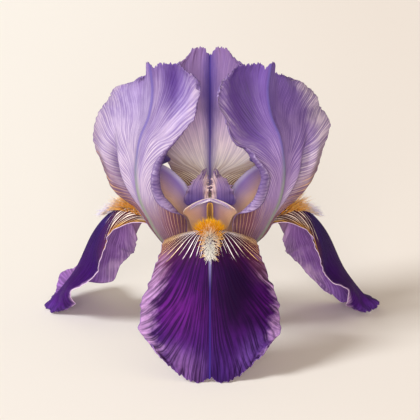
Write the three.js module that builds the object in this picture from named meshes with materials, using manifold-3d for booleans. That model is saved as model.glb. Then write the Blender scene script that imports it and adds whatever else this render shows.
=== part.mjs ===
// A bearded iris flower, picked just below its tube and standing on the tips of its three falls.
// Units are millimetres, +Z is up and +Y points away from the front fall's tip.
//
// Every petal is one thin blade. Its midrib is a curve in a half plane through the flower's axis,
// and its cross sections are arcs that leave the midrib at a fold angle and roll on to the margin.
// A positive fold or roll bends a half away from the blade's upper face, a negative one towards it.
// "left" and "right" are its two halves as seen by someone who stands outside and faces the axis.

import * as THREE from 'three';
import { mergeVertices } from 'three/addons/utils/BufferGeometryUtils.js';
import Module from 'manifold-3d';

const wasm = await Module();
wasm.setup();

// Driving dimensions

const BLADE = 0.7;             // a petal's thickness
const CLAW_BLADE = 1.0;        // its thickness at the claw, where it grows from the tube
const STYLE_BLADE = 0.8;       // a style arm's thickness
const STAMEN_BLADE = 0.9;      // a stamen's thickness
const GAP = 0.3;               // clearance between pieces that touch on the real flower
const NOTCH_WIDTH = 0.12;      // the tip notch's width, as a share of the half width
const NOTCH_POWER = 6;         // the higher, the closer to the tip the notch stays
const CREST_POWER = 10;        // the same for the corners cut beside the tip's raised middle
const MARGIN_CROWDING = 1.25;  // above 1, a blade's grid lines stand closer together at its margins
const CURVE_STEPS = 400;       // steps in which a midrib's length is measured
const LEAST_ROLL = 1e-3;       // the roll taken for a flat half, in radians
const NORMAL_STEP = 1e-3;      // step for a blade's normal, in its own 0 to 1 coordinates
const MERGE_DISTANCE = 1e-4;   // points closer than this are one
const PETAL_GRID = { across: 12, along: 28 };
const ARM_GRID = { across: 6, along: 10 };
const CREST_GRID = { across: 6, along: 7 };
const STAMEN_GRID = { across: 4, along: 11 };
const REST_DEPTH = 0.8;        // how far a fall's tip is pressed flat where it rests
const FALL_CROWN = 38;         // the falls' highest points, measured outwards from the axis
const CROWN_MARGIN = 1;        // points no further than this beyond the crown stay as they are

const TUBE = {
  top: 17.3, bottom: 7, ribs: 6, ribDepth: 0.28, steps: 24, rows: 5,
  mouth: 5.7,                  // radii from the mouth down to the foot
  throat: 4,
  neck: 3.3,
  foot: 3,
  throatDepth: 3,              // the throat's distance below the mouth
};
const COLUMN = { bottom: TUBE.top + GAP, top: 27.5, radius: 1.7, steps: 12 };

const FRONT = -90;             // the petals' headings around the axis, in degrees
const FALL_HEADINGS = { front: FRONT, left: FRONT - 120, right: FRONT + 120 };
const STANDARD_HEADINGS = { left: FRONT - 60, right: FRONT + 60, back: FRONT + 180 };

const degrees = THREE.MathUtils.degToRad;

// Curves and profiles

// A smooth curve through [t, value] keys that never overshoots them.
function ramp(keys, t) {
  const last = keys.length - 1;
  const slopes = keys.slice(1).map(([x, y], i) => (y - keys[i][1]) / (x - keys[i][0]));
  const tangents = keys.map((_, i) => {
    if (i === 0) return slopes[0];
    if (i === last) return slopes[last - 1];
    const product = slopes[i - 1] * slopes[i];
    return product <= 0 ? 0 : (2 * product) / (slopes[i - 1] + slopes[i]);
  });
  let i = 0;
  while (i < last - 1 && t >= keys[i + 1][0]) i += 1;
  const width = keys[i + 1][0] - keys[i][0];
  const s = THREE.MathUtils.clamp((t - keys[i][0]) / width, 0, 1);
  return keys[i][1] * (1 + 2 * s) * (1 - s) ** 2 + tangents[i] * width * s * (1 - s) ** 2
    + keys[i + 1][1] * s * s * (3 - 2 * s) + tangents[i + 1] * width * s * s * (s - 1);
}

const bell = (x) => Math.exp(-x * x);

// The midrib as a curve of [distance from the axis, height], walked by its length.
function midribCurve(points) {
  const curve = new THREE.SplineCurve(points.map(([r, z]) => new THREE.Vector2(r, z)));
  curve.arcLengthDivisions = CURVE_STEPS;
  return curve;
}

// The forms of the petals

const FALL_CLAW = [[4.1, 17.95], [12, 26.5], [20, 35]];
const SIDE_FALL_MIDRIB = [...FALL_CLAW, [26, 40.5], [31.7, 43.6], [37, 43.9], [41, 42.3], [44.8, 39.5],
  [48.6, 35.8], [52, 31.2], [55, 25.7], [58.3, 19.5], [62, 13.8], [66.2, 8.6], [71.4, 4.4]];
const FRONT_FALL_MIDRIB = [[4.1, 17.95], [11, 26.5], [18, 36], [24, 43], [29.5, 46.6], [35, 47.6],
  [40, 46], [44, 41.5], [46.6, 35], [48.4, 28], [49.8, 20], [51.4, 12], [53.3, 5], [55.5, 0.6]];
const STANDARD_MIDRIB = [[4.6, 17.95], [12, 29], [20.4, 39.5], [24.5, 46.5], [28, 54], [29.5, 62.3],
  [29, 70.4], [27.6, 76.4], [24.5, 83], [23, 92], [24.2, 102.2]];
const BACK_STANDARD_MIDRIB = [[4.6, 17.95], [12, 29], [20, 39.5], [24, 46.5], [27, 54], [28.5, 62.3],
  [28, 70.4], [26.6, 76.4], [24, 83], [22, 92], [21.5, 102.6]];

const FRONT_FALL_HALF = {
  width: [[0, 2], [0.1, 4.5], [0.24, 10], [0.32, 14], [0.42, 17], [0.52, 19], [0.62, 22], [0.72, 25],
    [0.8, 26], [0.87, 25.2], [0.92, 23.5], [1, 19.5]],
  fold: [[0, -25], [0.2, -12], [0.35, -3], [0.5, 3], [0.8, 5], [1, 0]],
  roll: [[0, 0], [0.25, 5], [0.4, 28], [0.6, 42], [0.8, 32], [1, 10]],
};
const NEAR_FALL_HALF = {
  width: [[0, 2], [0.1, 3.8], [0.22, 7], [0.3, 10], [0.42, 15.5], [0.52, 19], [0.62, 22], [0.72, 23.5],
    [0.82, 21.5], [0.92, 19], [1, 15]],
  fold: [[0, -25], [0.2, -30], [0.28, -30], [0.32, -15], [0.37, 14], [0.42, 22], [0.57, 26], [0.67, 32],
    [0.77, 26], [0.84, 10], [0.92, -2], [1, -5]],
  roll: [[0, 0], [0.25, 20], [0.78, 20], [0.86, 55], [0.93, 95], [1, 105]],
};
const FAR_FALL_HALF = {
  width: [[0, 2], [0.1, 3.8], [0.22, 7], [0.3, 9], [0.42, 13], [0.52, 16.5], [0.62, 19], [0.72, 21],
    [0.82, 21], [0.92, 17], [1, 13]],
  fold: [[0, -25], [0.2, -30], [0.28, -30], [0.32, -10], [0.37, 22], [0.42, 38], [0.5, 60], [0.6, 52],
    [0.7, 32], [0.8, 16], [1, 4]],
  roll: [[0, 0], [0.25, 15], [0.4, 40], [1, 40]],
};

const STANDARD_OUTER_HALF = {
  width: [[0, 1.9], [0.1, 3.2], [0.32, 5.5], [0.42, 8], [0.52, 13.5], [0.62, 20.5], [0.67, 25],
    [0.72, 28.5], [0.82, 31], [0.87, 30], [0.92, 26.5], [1, 15]],
  fold: [[0, -30], [0.2, -10], [0.35, 8], [0.6, 8], [0.8, 0], [1, 0]],
  roll: [[0, 0], [0.3, 25], [0.45, 30], [0.6, 20], [0.8, 5], [1, -10]],
};
const STANDARD_WIDE_HALF = {
  ...STANDARD_OUTER_HALF,
  width: [[0, 1.9], [0.1, 3.2], [0.32, 5.5], [0.42, 8], [0.52, 13.5], [0.62, 20.5], [0.67, 26],
    [0.72, 30.5], [0.82, 34], [0.87, 33.5], [0.92, 31.5], [1, 23]],
};
const STANDARD_INNER_HALF = {
  width: [[0, 1.9], [0.1, 3.8], [0.22, 7.5], [0.32, 11], [0.45, 13], [0.57, 11], [0.67, 10], [0.77, 11.4],
    [0.87, 14.5], [0.94, 18], [1, 18.5]],
  fold: [[0, -30], [0.3, -15], [1, -15]],
  roll: [[0, 0], [0.3, -10], [0.5, -20], [0.7, -50], [0.85, -60], [1, -40]],
};
const STANDARD_INNER_WIDE_HALF = {
  ...STANDARD_INNER_HALF,
  width: [[0, 1.9], [0.1, 3.8], [0.22, 7.5], [0.32, 11], [0.42, 12.5], [0.57, 11], [0.67, 13], [0.77, 15.5],
    [0.87, 18.2], [0.94, 20.4], [1, 20]],
  roll: [[0, 0], [0.3, -10], [0.5, -20], [0.7, -45], [0.85, -50], [1, -40]],
};
const BACK_STANDARD_HALF = {
  width: [[0, 1.9], [0.1, 3.8], [0.22, 7.5], [0.35, 11], [0.47, 13], [0.57, 16.5], [0.67, 21], [0.77, 24],
    [0.87, 24], [0.94, 22], [1, 17.5]],
  fold: [[0, -30], [0.3, -15], [0.6, -10], [1, -5]],
  roll: [[0, 0], [0.3, -20], [0.6, -40], [1, -30]],
};

const FALL_CORNER = [[0, 0], [0.6, 0], [1, 0.1]];
const STANDARD_CORNER = [[0, 0], [0.5, 0.03], [0.8, 0.06], [1, 0.08]];
const STANDARD_CREST = { depth: 0.03, width: 0.28 };

const FALLS = {
  front: {
    midrib: FRONT_FALL_MIDRIB, left: FRONT_FALL_HALF, right: FRONT_FALL_HALF,
    corner: [[0, 0], [0.6, 0], [0.85, 0.05], [1, 0.125]], notch: 0.01,
    ruffles: [{ height: [[0, 0], [0.5, 0], [0.75, 0.4], [1, 0.8]], power: 5, waves: 7, phase: 0.1 }],
    hem: { height: 0.8, depth: 0.07, waves: 3.5, phase: 0.2, power: 0.5 }, swells: [],
  },
  left: {
    midrib: SIDE_FALL_MIDRIB, left: FAR_FALL_HALF, right: NEAR_FALL_HALF, corner: FALL_CORNER, notch: 0.005,
    ruffles: [{ height: [[0, 0], [0.5, 0.2], [0.75, 0.6], [1, 1]], power: 4, waves: 7, phase: 0.3 }],
    hem: { height: -1.6, depth: 0.1, waves: 2.4, phase: 0, power: 0.6 },
    swells: [{ across: -0.8, along: 0.99, wide: 0.45, long: 0.07, height: 15 },
      { across: -1, along: 0.85, wide: 0.45, long: 0.045, height: -7 }],
  },
  right: {
    midrib: SIDE_FALL_MIDRIB, left: NEAR_FALL_HALF, right: FAR_FALL_HALF, corner: FALL_CORNER, notch: 0.005,
    ruffles: [{ height: [[0, 0], [0.5, 0.2], [0.75, 0.6], [1, 1]], power: 4, waves: 7, phase: 0.8 }],
    hem: { height: 1.4, depth: 0.1, waves: 2.4, phase: 0.1, power: 0.6 },
    swells: [{ across: -0.2, along: 1, wide: 0.5, long: 0.06, height: 2.5 },
      { across: 0.9, along: 1, wide: 0.5, long: 0.1, height: -3 }],
  },
};

const STANDARDS = {
  left: {
    midrib: STANDARD_MIDRIB, left: STANDARD_OUTER_HALF, right: STANDARD_INNER_HALF,
    corner: STANDARD_CORNER, notch: 0.02, crest: STANDARD_CREST,
    ruffles: [{ height: [[0, 0], [0.3, 0.2], [0.6, 0.8], [1, 0.9]], power: 4, waves: 7.5, phase: 0 }],
    hem: { height: 1, depth: 0.12, waves: 2.5, phase: 0.1, power: 0.5 }, swells: [],
  },
  right: {
    midrib: STANDARD_MIDRIB, left: STANDARD_INNER_WIDE_HALF, right: STANDARD_WIDE_HALF,
    corner: STANDARD_CORNER, notch: 0.02, crest: STANDARD_CREST,
    ruffles: [{ height: [[0, 0], [0.3, 0.2], [0.6, 0.8], [1, 0.9]], power: 4, waves: 7.5, phase: 0.5 }],
    hem: { height: 1, depth: 0.12, waves: 2.5, phase: 0.6, power: 0.5 }, swells: [],
  },
  back: {
    midrib: BACK_STANDARD_MIDRIB, left: BACK_STANDARD_HALF, right: BACK_STANDARD_HALF,
    corner: [[0, 0], [0.5, 0.02], [0.8, 0.05], [1, 0.09]], notch: 0.012, crest: { depth: 0.02, width: 0.4 },
    ruffles: [{ height: [[0, 0], [0.3, 0.3], [0.6, 0.9], [1, 1]], power: 4, waves: 7, phase: 0 }],
    hem: { height: 1.2, depth: 0.12, waves: 2.5, phase: 0.25, power: 0.5 }, swells: [],
  },
};

// The forms of the style arms, which arch over the stamens and end in two upright crests

const ARM_HALF = {
  width: [[0, 1.5], [0.25, 4.6], [0.55, 8], [0.85, 10], [1, 9]],
  fold: [[0, 15], [1, 15]],
  roll: [[0, 20], [0.5, 40], [1, 40]],
};
const ARM = {
  midrib: [[0.9, 24.5], [4, 32], [7.5, 41], [11.5, 48], [17, 53.8]], left: ARM_HALF, right: ARM_HALF,
  corner: [[0, 0], [1, 0.06]], notch: 0, ruffles: [], swells: [],
};
const CREST_HALF = {
  width: [[0, 3.6], [0.3, 5], [0.6, 4.4], [0.85, 2.6], [1, 0.5]],
  fold: [[0, 10], [1, 10]],
  roll: [[0, 20], [1, 20]],
};
const CREST = {
  midrib: [[14.6, 51.6], [16.4, 57], [16.2, 60.5], [14.8, 64]], left: CREST_HALF, right: CREST_HALF,
  corner: [[0, 0], [1, 0]], notch: 0, swells: [],
  ruffles: [{ height: [[0, 0], [0.5, 0.35], [1, 0.2]], power: 3, waves: 3.5, phase: 0.2 }],
};
const CREST_SPREAD = [[0, 4.2], [0.5, 4.9], [1, 2.6]];   // how far each crest stands from the arm's middle

const STAMEN_HALF = {
  width: [[0, 0.5], [0.58, 0.55], [0.66, 1.25], [0.95, 1.2], [1, 0.7]],
  fold: [[0, -20], [1, -20]],
  roll: [[0, 40], [1, 50]],
};
const STAMEN = {
  midrib: [[2.9, 17.8], [4.8, 24], [7.4, 32], [10.6, 40], [14.2, 45.8], [17.2, 49]],
  left: STAMEN_HALF, right: STAMEN_HALF, corner: [[0, 0], [1, 0]], notch: 0, ruffles: [], swells: [],
};

// Beards: a low ridge of flesh along the fall's midrib, set all over with hairs

const BEARD = {
  from: 0.16,          // where the ridge begins and ends, as shares of the fall's length
  to: 0.56,
  seat: 0.4,           // clearance above the fall
  halfWidth: 2, thickness: 0.9, across: 2, along: 14,
  edge: 0.5,           // its thickness at the edges, as a share of that at the middle
};
const HAIR = {
  rows: 4, perRow: 10, length: 4, radius: 0.5, sides: 3,
  rowSpan: 0.7,        // the outermost rows' place, as a share of the ridge's half width
  root: 0.7,           // how deep a hair is rooted in the ridge
  spread: 60,          // how far the outermost hairs lean sideways, in degrees
  lean: 35,            // how far the last hairs lean towards the fall's tip, in degrees
  shorter: 0.25,       // how much shorter the outermost hairs are, as a share
  jitter: 0.3,         // how much place, tilt and length vary
  seed: 7,
};

// The surface of a blade

// The point at u (-1 left to 1 right) and v (0 claw to 1 tip), in the blade's own frame:
// x outwards from the axis, y sideways to the right, z up.
function bladePoint(form, u, v) {
  const side = Math.sign(u);
  const x = Math.abs(u);
  const half = u < 0 ? form.left : form.right;
  const notch = form.notch * bell(x / NOTCH_WIDTH) * v ** NOTCH_POWER;
  const crest = form.crest ? form.crest.depth * (1 - bell(x / form.crest.width)) * v ** CREST_POWER : 0;
  const t = THREE.MathUtils.clamp(v * (1 - ramp(form.corner, v) * x * x) - notch - crest, 0, 1);
  const rib = form.curve.getPointAt(t);
  const tangent = form.curve.getTangentAt(t);
  const width = ramp(half.width, v);
  const fold = degrees(ramp(half.fold, v));
  const roll = degrees(ramp(half.roll, v)) || LEAST_ROLL;
  const slope = fold + roll * x;
  const out = (width * (Math.sin(slope) - Math.sin(fold))) / roll;
  const drop = (width * (Math.cos(fold) - Math.cos(slope))) / roll;
  const swell = swellAt(form, u, v);
  const sideways = side * (out + Math.sin(slope) * swell) + (form.spread ? ramp(form.spread, t) : 0);
  const lift = Math.cos(slope) * swell - drop;
  return new THREE.Vector3(rib.x - tangent.y * lift, sideways, rib.y + tangent.x * lift);
}

// How far the margin's ruffles, the tip's hem and single swells lift the blade along its normal.
function swellAt(form, u, v) {
  const x = Math.abs(u);
  let lift = 0;
  for (const wave of form.ruffles) {
    lift += ramp(wave.height, v) * x ** wave.power * Math.sin(2 * Math.PI * (wave.waves * v + wave.phase));
  }
  if (form.hem) {
    const { height, depth, waves, phase, power } = form.hem;
    lift += height * bell((1 - v) / depth) * Math.sin(2 * Math.PI * (waves * u + phase)) * x ** power;
  }
  for (const { across, along, wide, long, height } of form.swells) {
    lift += height * bell((v - along) / long) * bell((u - across) / wide);
  }
  return lift;
}

// The blade's upward normal, from two short steps along it.
function bladeNormal(form, u, v) {
  const low = Math.max(v - NORMAL_STEP, 0);
  const high = Math.min(v + NORMAL_STEP, 1);
  const along = bladePoint(form, u, high).sub(bladePoint(form, u, low));
  const across = bladePoint(form, u + NORMAL_STEP, v).sub(bladePoint(form, u - NORMAL_STEP, v));
  return along.cross(across).normalize();
}

// Across the blade the grid lines stand closer together towards the margins, where the ruffles are.
const crowdToMargins = (u) => Math.sign(u) * (1 - (1 - Math.abs(u)) ** MARGIN_CROWDING);

// A closed body between an upper and a lower surface, split into triangles alike, with a rim around.
// u runs against the plane's x, so that the plane's face becomes the upper one.
function sheet(surface, grid) {
  const plane = new THREE.PlaneGeometry(2, 1, grid.across, grid.along);
  const count = plane.attributes.position.count;
  const positions = [];
  for (const top of [true, false]) {
    for (let i = 0; i < count; i += 1) {
      const u = -plane.attributes.position.getX(i);
      const v = plane.attributes.position.getY(i) + 0.5;
      positions.push(...surface(u, v, top).toArray());
    }
  }
  const faces = [...plane.index.array];
  const under = [];
  for (let i = 0; i < faces.length; i += 3) {
    under.push(faces[i] + count, faces[i + 2] + count, faces[i + 1] + count);
  }
  const rim = rimLoop(grid);
  const wall = rim.flatMap((a, i) => {
    const b = rim[(i + 1) % rim.length];
    return [a, a + count, b, b, a + count, b + count];
  });
  const geometry = new THREE.BufferGeometry();
  geometry.setAttribute('position', new THREE.Float32BufferAttribute(positions, 3));
  geometry.setIndex([...faces, ...under, ...wall]);
  return geometry;
}

// The indices of a plane grid's outline, counterclockwise seen from its face.
function rimLoop({ across, along }) {
  const row = across + 1;
  const top = Array.from({ length: across }, (_, i) => across - i);
  const left = Array.from({ length: along }, (_, i) => i * row);
  const bottom = Array.from({ length: across }, (_, i) => along * row + i);
  const right = Array.from({ length: along }, (_, i) => (along - i) * row + across);
  return [...left, ...bottom, ...right, ...top];
}

const withCurve = (form) => ({ ...form, curve: midribCurve(form.midrib) });

// A petal's thickness grows towards the claw.
const bladeThickness = (v) => BLADE + (CLAW_BLADE - BLADE) * (1 - v) ** 2;

function blade(form, grid, thicknessAt = bladeThickness) {
  const shaped = withCurve(form);
  return sheet((u, v, top) => {
    const across = crowdToMargins(u);
    const offset = (top ? 0.5 : -0.5) * thicknessAt(v);
    return bladePoint(shaped, across, v).addScaledVector(bladeNormal(shaped, across, v), offset);
  }, grid);
}

// Past its crown a fall is bent, more the further out, until its lowest point is REST_DEPTH below the
// ground, and it is pressed flat there.
function restOnGround(geometry) {
  const position = geometry.attributes.position;
  const points = Array.from({ length: position.count }, (_, i) => i)
    .filter((i) => position.getX(i) > FALL_CROWN + CROWN_MARGIN)
    .map((i) => ({ i, reach: position.getX(i) - FALL_CROWN, z: position.getZ(i) }));
  const bend = Math.min(...points.map(({ reach, z }) => (z + REST_DEPTH) / reach));
  for (const { i, reach, z } of points) {
    position.setZ(i, Math.max(z - bend * reach, 0));
  }
  return geometry;
}

// Solids joined into one body

function toSolid(geometry) {
  const bare = geometry.clone();
  bare.deleteAttribute('normal');
  bare.deleteAttribute('uv');
  const merged = mergeVertices(bare, MERGE_DISTANCE);
  return new wasm.Manifold(new wasm.Mesh({
    numProp: 3,
    vertProperties: Float32Array.from(merged.attributes.position.array),
    triVerts: Uint32Array.from(merged.index.array),
  }));
}

function joined(geometries) {
  const solid = geometries.map(toSolid).reduce((sum, next) => sum.add(next));
  const { vertProperties, triVerts } = solid.getMesh();
  const geometry = new THREE.BufferGeometry();
  geometry.setAttribute('position', new THREE.BufferAttribute(vertProperties, 3));
  geometry.setIndex(new THREE.BufferAttribute(triVerts, 1));
  return geometry;
}

// Pieces

function perianthTube() {
  const { top, bottom, mouth, throat, throatDepth, neck, foot, ribs, ribDepth, steps, rows } = TUBE;
  const outline = new THREE.SplineCurve([
    new THREE.Vector2(foot, bottom), new THREE.Vector2(neck, (bottom + top) / 2),
    new THREE.Vector2(throat, top - throatDepth), new THREE.Vector2(mouth, top),
  ]).getPoints(rows);
  const profile = [new THREE.Vector2(0, bottom), ...outline, new THREE.Vector2(0, top)];
  const geometry = new THREE.LatheGeometry(profile, steps).rotateX(Math.PI / 2);
  const position = geometry.attributes.position;
  for (let i = 0; i < position.count; i += 1) {
    const x = position.getX(i);
    const y = position.getY(i);
    const rib = 1 + (ribDepth / neck) * Math.cos(ribs * Math.atan2(y, x));
    position.setXY(i, x * rib, y * rib);
  }
  geometry.deleteAttribute('normal');
  geometry.deleteAttribute('uv');
  return mergeVertices(geometry, MERGE_DISTANCE);
}

function styleArm(heading) {
  const pieces = [blade(ARM, ARM_GRID, () => STYLE_BLADE)];
  for (const side of [-1, 1]) {
    const spread = CREST_SPREAD.map(([t, distance]) => [t, side * distance]);
    pieces.push(blade({ ...CREST, spread }, CREST_GRID, () => STYLE_BLADE));
  }
  return pieces.map((piece) => piece.rotateZ(degrees(heading)));
}

function styleColumn() {
  const height = COLUMN.top - COLUMN.bottom;
  return new THREE.CylinderGeometry(COLUMN.radius, COLUMN.radius, height, COLUMN.steps)
    .rotateX(Math.PI / 2)
    .translate(0, 0, COLUMN.bottom + height / 2);
}

// Repeatable draws between 0 and 1: each state is the last one times a factor, modulo a prime.
const DRAW_FACTOR = 16807;
const DRAW_PRIME = 2147483647;

function makeDraw(seed) {
  let state = seed;
  return () => {
    state = (state * DRAW_FACTOR) % DRAW_PRIME;
    return state / DRAW_PRIME;
  };
}

function beard(fallForm) {
  const form = withCurve(fallForm);
  const span = (v) => THREE.MathUtils.lerp(BEARD.from, BEARD.to, v);
  const acrossAt = (v, distance) => distance / ramp(form.right.width, span(v));
  const lift = (v) => bladeThickness(span(v)) / 2 + BEARD.seat;
  const onRidge = (distance, v, height) => {
    const u = acrossAt(v, distance);
    return bladePoint(form, u, span(v)).addScaledVector(bladeNormal(form, 0, span(v)), lift(v) + height);
  };
  const ridge = sheet((u, v, top) => {
    const thickness = BEARD.thickness * THREE.MathUtils.lerp(1, BEARD.edge, Math.abs(u));
    return onRidge(u * BEARD.halfWidth, v, top ? thickness : 0);
  }, BEARD);
  return joined([ridge, ...beardHairs(form, span, onRidge)]);
}

function beardHairs(form, span, onRidge) {
  const draw = makeDraw(HAIR.seed);
  const vary = () => HAIR.jitter * (draw() - 0.5);
  const hairs = [];
  const coneAxis = new THREE.Vector3(0, 1, 0);
  const sideways = new THREE.Vector3(0, 1, 0);
  for (let row = 0; row < HAIR.rows; row += 1) {
    const side = (2 * row) / (HAIR.rows - 1) - 1;
    for (let i = 0; i < HAIR.perRow; i += 1) {
      const v = (i + 0.5 + 0.5 * (row % 2) + vary()) / (HAIR.perRow + 0.5);
      const root = onRidge(side * BEARD.halfWidth * HAIR.rowSpan, v, BEARD.thickness - HAIR.root);
      const normal = bladeNormal(form, 0, span(v));
      const ahead = onRidge(0, Math.min(v + NORMAL_STEP, 1), 0);
      const along = ahead.sub(onRidge(0, v - NORMAL_STEP, 0)).normalize();
      const tilt = degrees(HAIR.spread * side * (1 + vary()));
      const lean = degrees(HAIR.lean * v);
      const direction = normal.clone().multiplyScalar(Math.cos(tilt) * Math.cos(lean))
        .addScaledVector(sideways, Math.sin(tilt))
        .addScaledVector(along, Math.sin(lean));
      const length = HAIR.length * (1 + vary()) * (1 - HAIR.shorter * Math.abs(side));
      const hair = new THREE.ConeGeometry(HAIR.radius, length, HAIR.sides)
        .translate(0, length / 2, 0)
        .applyQuaternion(new THREE.Quaternion().setFromUnitVectors(coneAxis, direction.normalize()))
        .translate(...root.toArray());
      hairs.push(hair);
    }
  }
  return hairs;
}

// Colours

const paint = (color, roughness) => new THREE.MeshStandardMaterial({ color, roughness, metalness: 0 });

const PAINT = {
  fall: paint('#4b1f7a', 0.75),
  standard: paint('#a48cc8', 0.7),
  style: paint('#b49ac4', 0.65),
  stamen: paint('#d9b25a', 0.8),
  beard: paint('#e0a030', 0.85),
  tube: paint('#7f8a5a', 0.6),
};

// The flower

const flower = new THREE.Group();

function place(name, geometry, material, heading = 0) {
  const mesh = new THREE.Mesh(geometry, material);
  mesh.name = name;
  mesh.rotation.z = degrees(heading);
  flower.add(mesh);
}

for (const [side, heading] of Object.entries(FALL_HEADINGS)) {
  place(`fall_${side}`, restOnGround(blade(FALLS[side], PETAL_GRID)), PAINT.fall, heading);
  place(`beard_${side}`, beard(FALLS[side]), PAINT.beard, heading);
  place(`stamen_${side}`, blade(STAMEN, STAMEN_GRID, () => STAMEN_BLADE), PAINT.stamen, heading);
}
for (const [side, heading] of Object.entries(STANDARD_HEADINGS)) {
  place(`standard_${side}`, blade(STANDARDS[side], PETAL_GRID), PAINT.standard, heading);
}
place('style', joined([styleColumn(), ...Object.values(FALL_HEADINGS).flatMap(styleArm)]), PAINT.style);
place('perianth_tube', perianthTube(), PAINT.tube);

// The origin is the middle of the flower's bounding box, at the ground.
flower.updateMatrixWorld(true);
const box = new THREE.Box3().setFromObject(flower, true);
flower.position.set(-(box.min.x + box.max.x) / 2, -(box.min.y + box.max.y) / 2, -box.min.z);

export default flower;
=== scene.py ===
"""The looks of a bearded iris bloom that stands on the tips of its three falls.

Sizes are millimetres in the flower's own frame, whose axis is upright at x = y = 0, and become metres when
a mesh is written. Every petal is a thin blade: its midrib is a curve in a half plane through the axis, and
its cross sections are arcs that leave the midrib at a fold angle and roll on to the margin. A place on a
blade is u, across it from -1 at the left margin to 1 at the right one, and v, along it from 0 at the claw
to 1 at the tip. A vein is a line of one value of a coordinate that each petal carries with it, so the
colours follow the veins.
"""

from __future__ import annotations

import logging
import math
from dataclasses import dataclass, replace
from enum import Enum
from typing import Union

import bmesh
import bpy
import numpy as np
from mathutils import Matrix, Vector

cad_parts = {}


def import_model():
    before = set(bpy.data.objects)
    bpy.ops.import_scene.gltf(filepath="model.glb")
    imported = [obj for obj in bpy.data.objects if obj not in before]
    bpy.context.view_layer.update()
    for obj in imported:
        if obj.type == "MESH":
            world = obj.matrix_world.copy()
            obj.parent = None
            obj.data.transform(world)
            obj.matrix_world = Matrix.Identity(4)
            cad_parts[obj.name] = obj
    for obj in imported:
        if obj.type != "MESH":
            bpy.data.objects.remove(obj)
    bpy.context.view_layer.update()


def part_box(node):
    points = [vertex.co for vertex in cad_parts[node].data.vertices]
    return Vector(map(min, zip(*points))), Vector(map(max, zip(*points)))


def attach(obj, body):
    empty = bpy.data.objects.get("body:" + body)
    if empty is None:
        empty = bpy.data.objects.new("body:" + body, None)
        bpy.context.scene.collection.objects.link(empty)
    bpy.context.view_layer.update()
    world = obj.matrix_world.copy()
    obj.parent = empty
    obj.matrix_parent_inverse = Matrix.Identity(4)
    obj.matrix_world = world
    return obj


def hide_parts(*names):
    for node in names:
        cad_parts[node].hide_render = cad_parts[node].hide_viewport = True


LOG = logging.getLogger("iris")
MM = 0.001
TURN = 2 * math.pi
LEAST_LENGTH = 1e-9

Array = np.ndarray
Keys = tuple[tuple[float, float], ...]
Colour = tuple[float, float, float, float]
Material = bpy.types.Material
Socket = bpy.types.NodeSocket
Input = Union[Socket, float, Colour]
Feeds = dict[Union[int, str], Input]
Stops = tuple[tuple[float, str], ...]


# Numbers and curves


def ramp(keys: Keys, t: Array) -> Array:
    """A smooth curve through keys that never overshoots them.

    Args:
        keys: pairs of position and value, in rising order of position.
        t: the positions to read.

    Returns:
        The values at t.
    """
    x = np.array([key[0] for key in keys], float)
    y = np.array([key[1] for key in keys], float)
    slopes = np.diff(y) / np.diff(x)
    products = slopes[:-1] * slopes[1:]
    sums = np.where(products > 0, slopes[:-1] + slopes[1:], 1.0)
    inner = np.where(products > 0, 2 * products / sums, 0.0)
    tangents = np.concatenate([slopes[:1], inner, slopes[-1:]])
    i = np.clip(np.searchsorted(x, t, side="right") - 1, 0, len(x) - 2)
    width = x[i + 1] - x[i]
    s = np.clip((t - x[i]) / width, 0, 1)
    start = y[i] * (1 + 2 * s) * (1 - s) ** 2 + tangents[i] * width * s * (1 - s) ** 2
    return start + y[i + 1] * s * s * (3 - 2 * s) + tangents[i + 1] * width * s * s * (s - 1)


def bell(x: Array) -> Array:
    """One at zero, and falling smoothly to nothing on both sides."""
    return np.exp(-x * x)


def step(low: float, high: float, x: Array) -> Array:
    """Zero below low, one above high, and smooth between them."""
    t = np.clip((x - low) / (high - low), 0, 1)
    return t * t * (3 - 2 * t)


def unit(vectors: Array) -> Array:
    """Vectors of the same directions and of length one."""
    return vectors / np.maximum(np.linalg.norm(vectors, axis=-1, keepdims=True), LEAST_LENGTH)


def waves(x: Array, seed: int, counts: tuple[float, ...]) -> Array:
    """An irregular wave between about -1 and 1, summed from sines of seeded phase.

    Args:
        x: positions, where 1 is the whole length.
        seed: picks the phases.
        counts: how many waves each sine makes over that length.

    Returns:
        The wave's heights at x.
    """
    phases = np.random.default_rng(seed).uniform(0, TURN, len(counts))
    total = sum(np.sin(TURN * n * x + phase) for n, phase in zip(counts, phases))
    return total / math.sqrt(len(counts))


class Midrib:
    """A curve of distance from the axis and height, walked by its length."""

    SAMPLES = 1500

    def __init__(self, points: Keys) -> None:
        """Samples the curve that runs through the points.

        Args:
            points: distances from the axis and heights, from the claw to the tip.
        """
        knots = np.array(points, float)
        last = len(knots) - 1
        t = np.linspace(0, last, self.SAMPLES)
        i = np.minimum(t.astype(int), last - 1)
        w = (t - i)[:, None]
        before, here = knots[np.maximum(i - 1, 0)], knots[i]
        after, beyond = knots[i + 1], knots[np.minimum(i + 2, last)]
        start, end = (after - before) / 2, (beyond - here) / 2
        cubic = (2 * here - 2 * after + start + end) * w**3
        square = (-3 * here + 3 * after - 2 * start - end) * w**2
        self.samples = cubic + square + start * w + here
        steps = np.linalg.norm(np.diff(self.samples, axis=0), axis=1)
        self.walked = np.concatenate([[0], np.cumsum(steps)])
        self.length = float(self.walked[-1])
        self.tangents = unit(np.gradient(self.samples, self.walked, axis=0))

    def read(self, table: Array, place: Array) -> Array:
        """A table's values at places along the curve, in millimetres from the claw."""
        return np.stack([np.interp(place, self.walked, column) for column in table.T], -1)

    def at(self, t: Array) -> tuple[Array, Array]:
        """The points and tangents at t, from 0 at the claw to 1 at the tip."""
        place = np.clip(t, 0, 1) * self.length
        return self.read(self.samples, place), self.read(self.tangents, place)


# The forms of the blades


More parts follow.
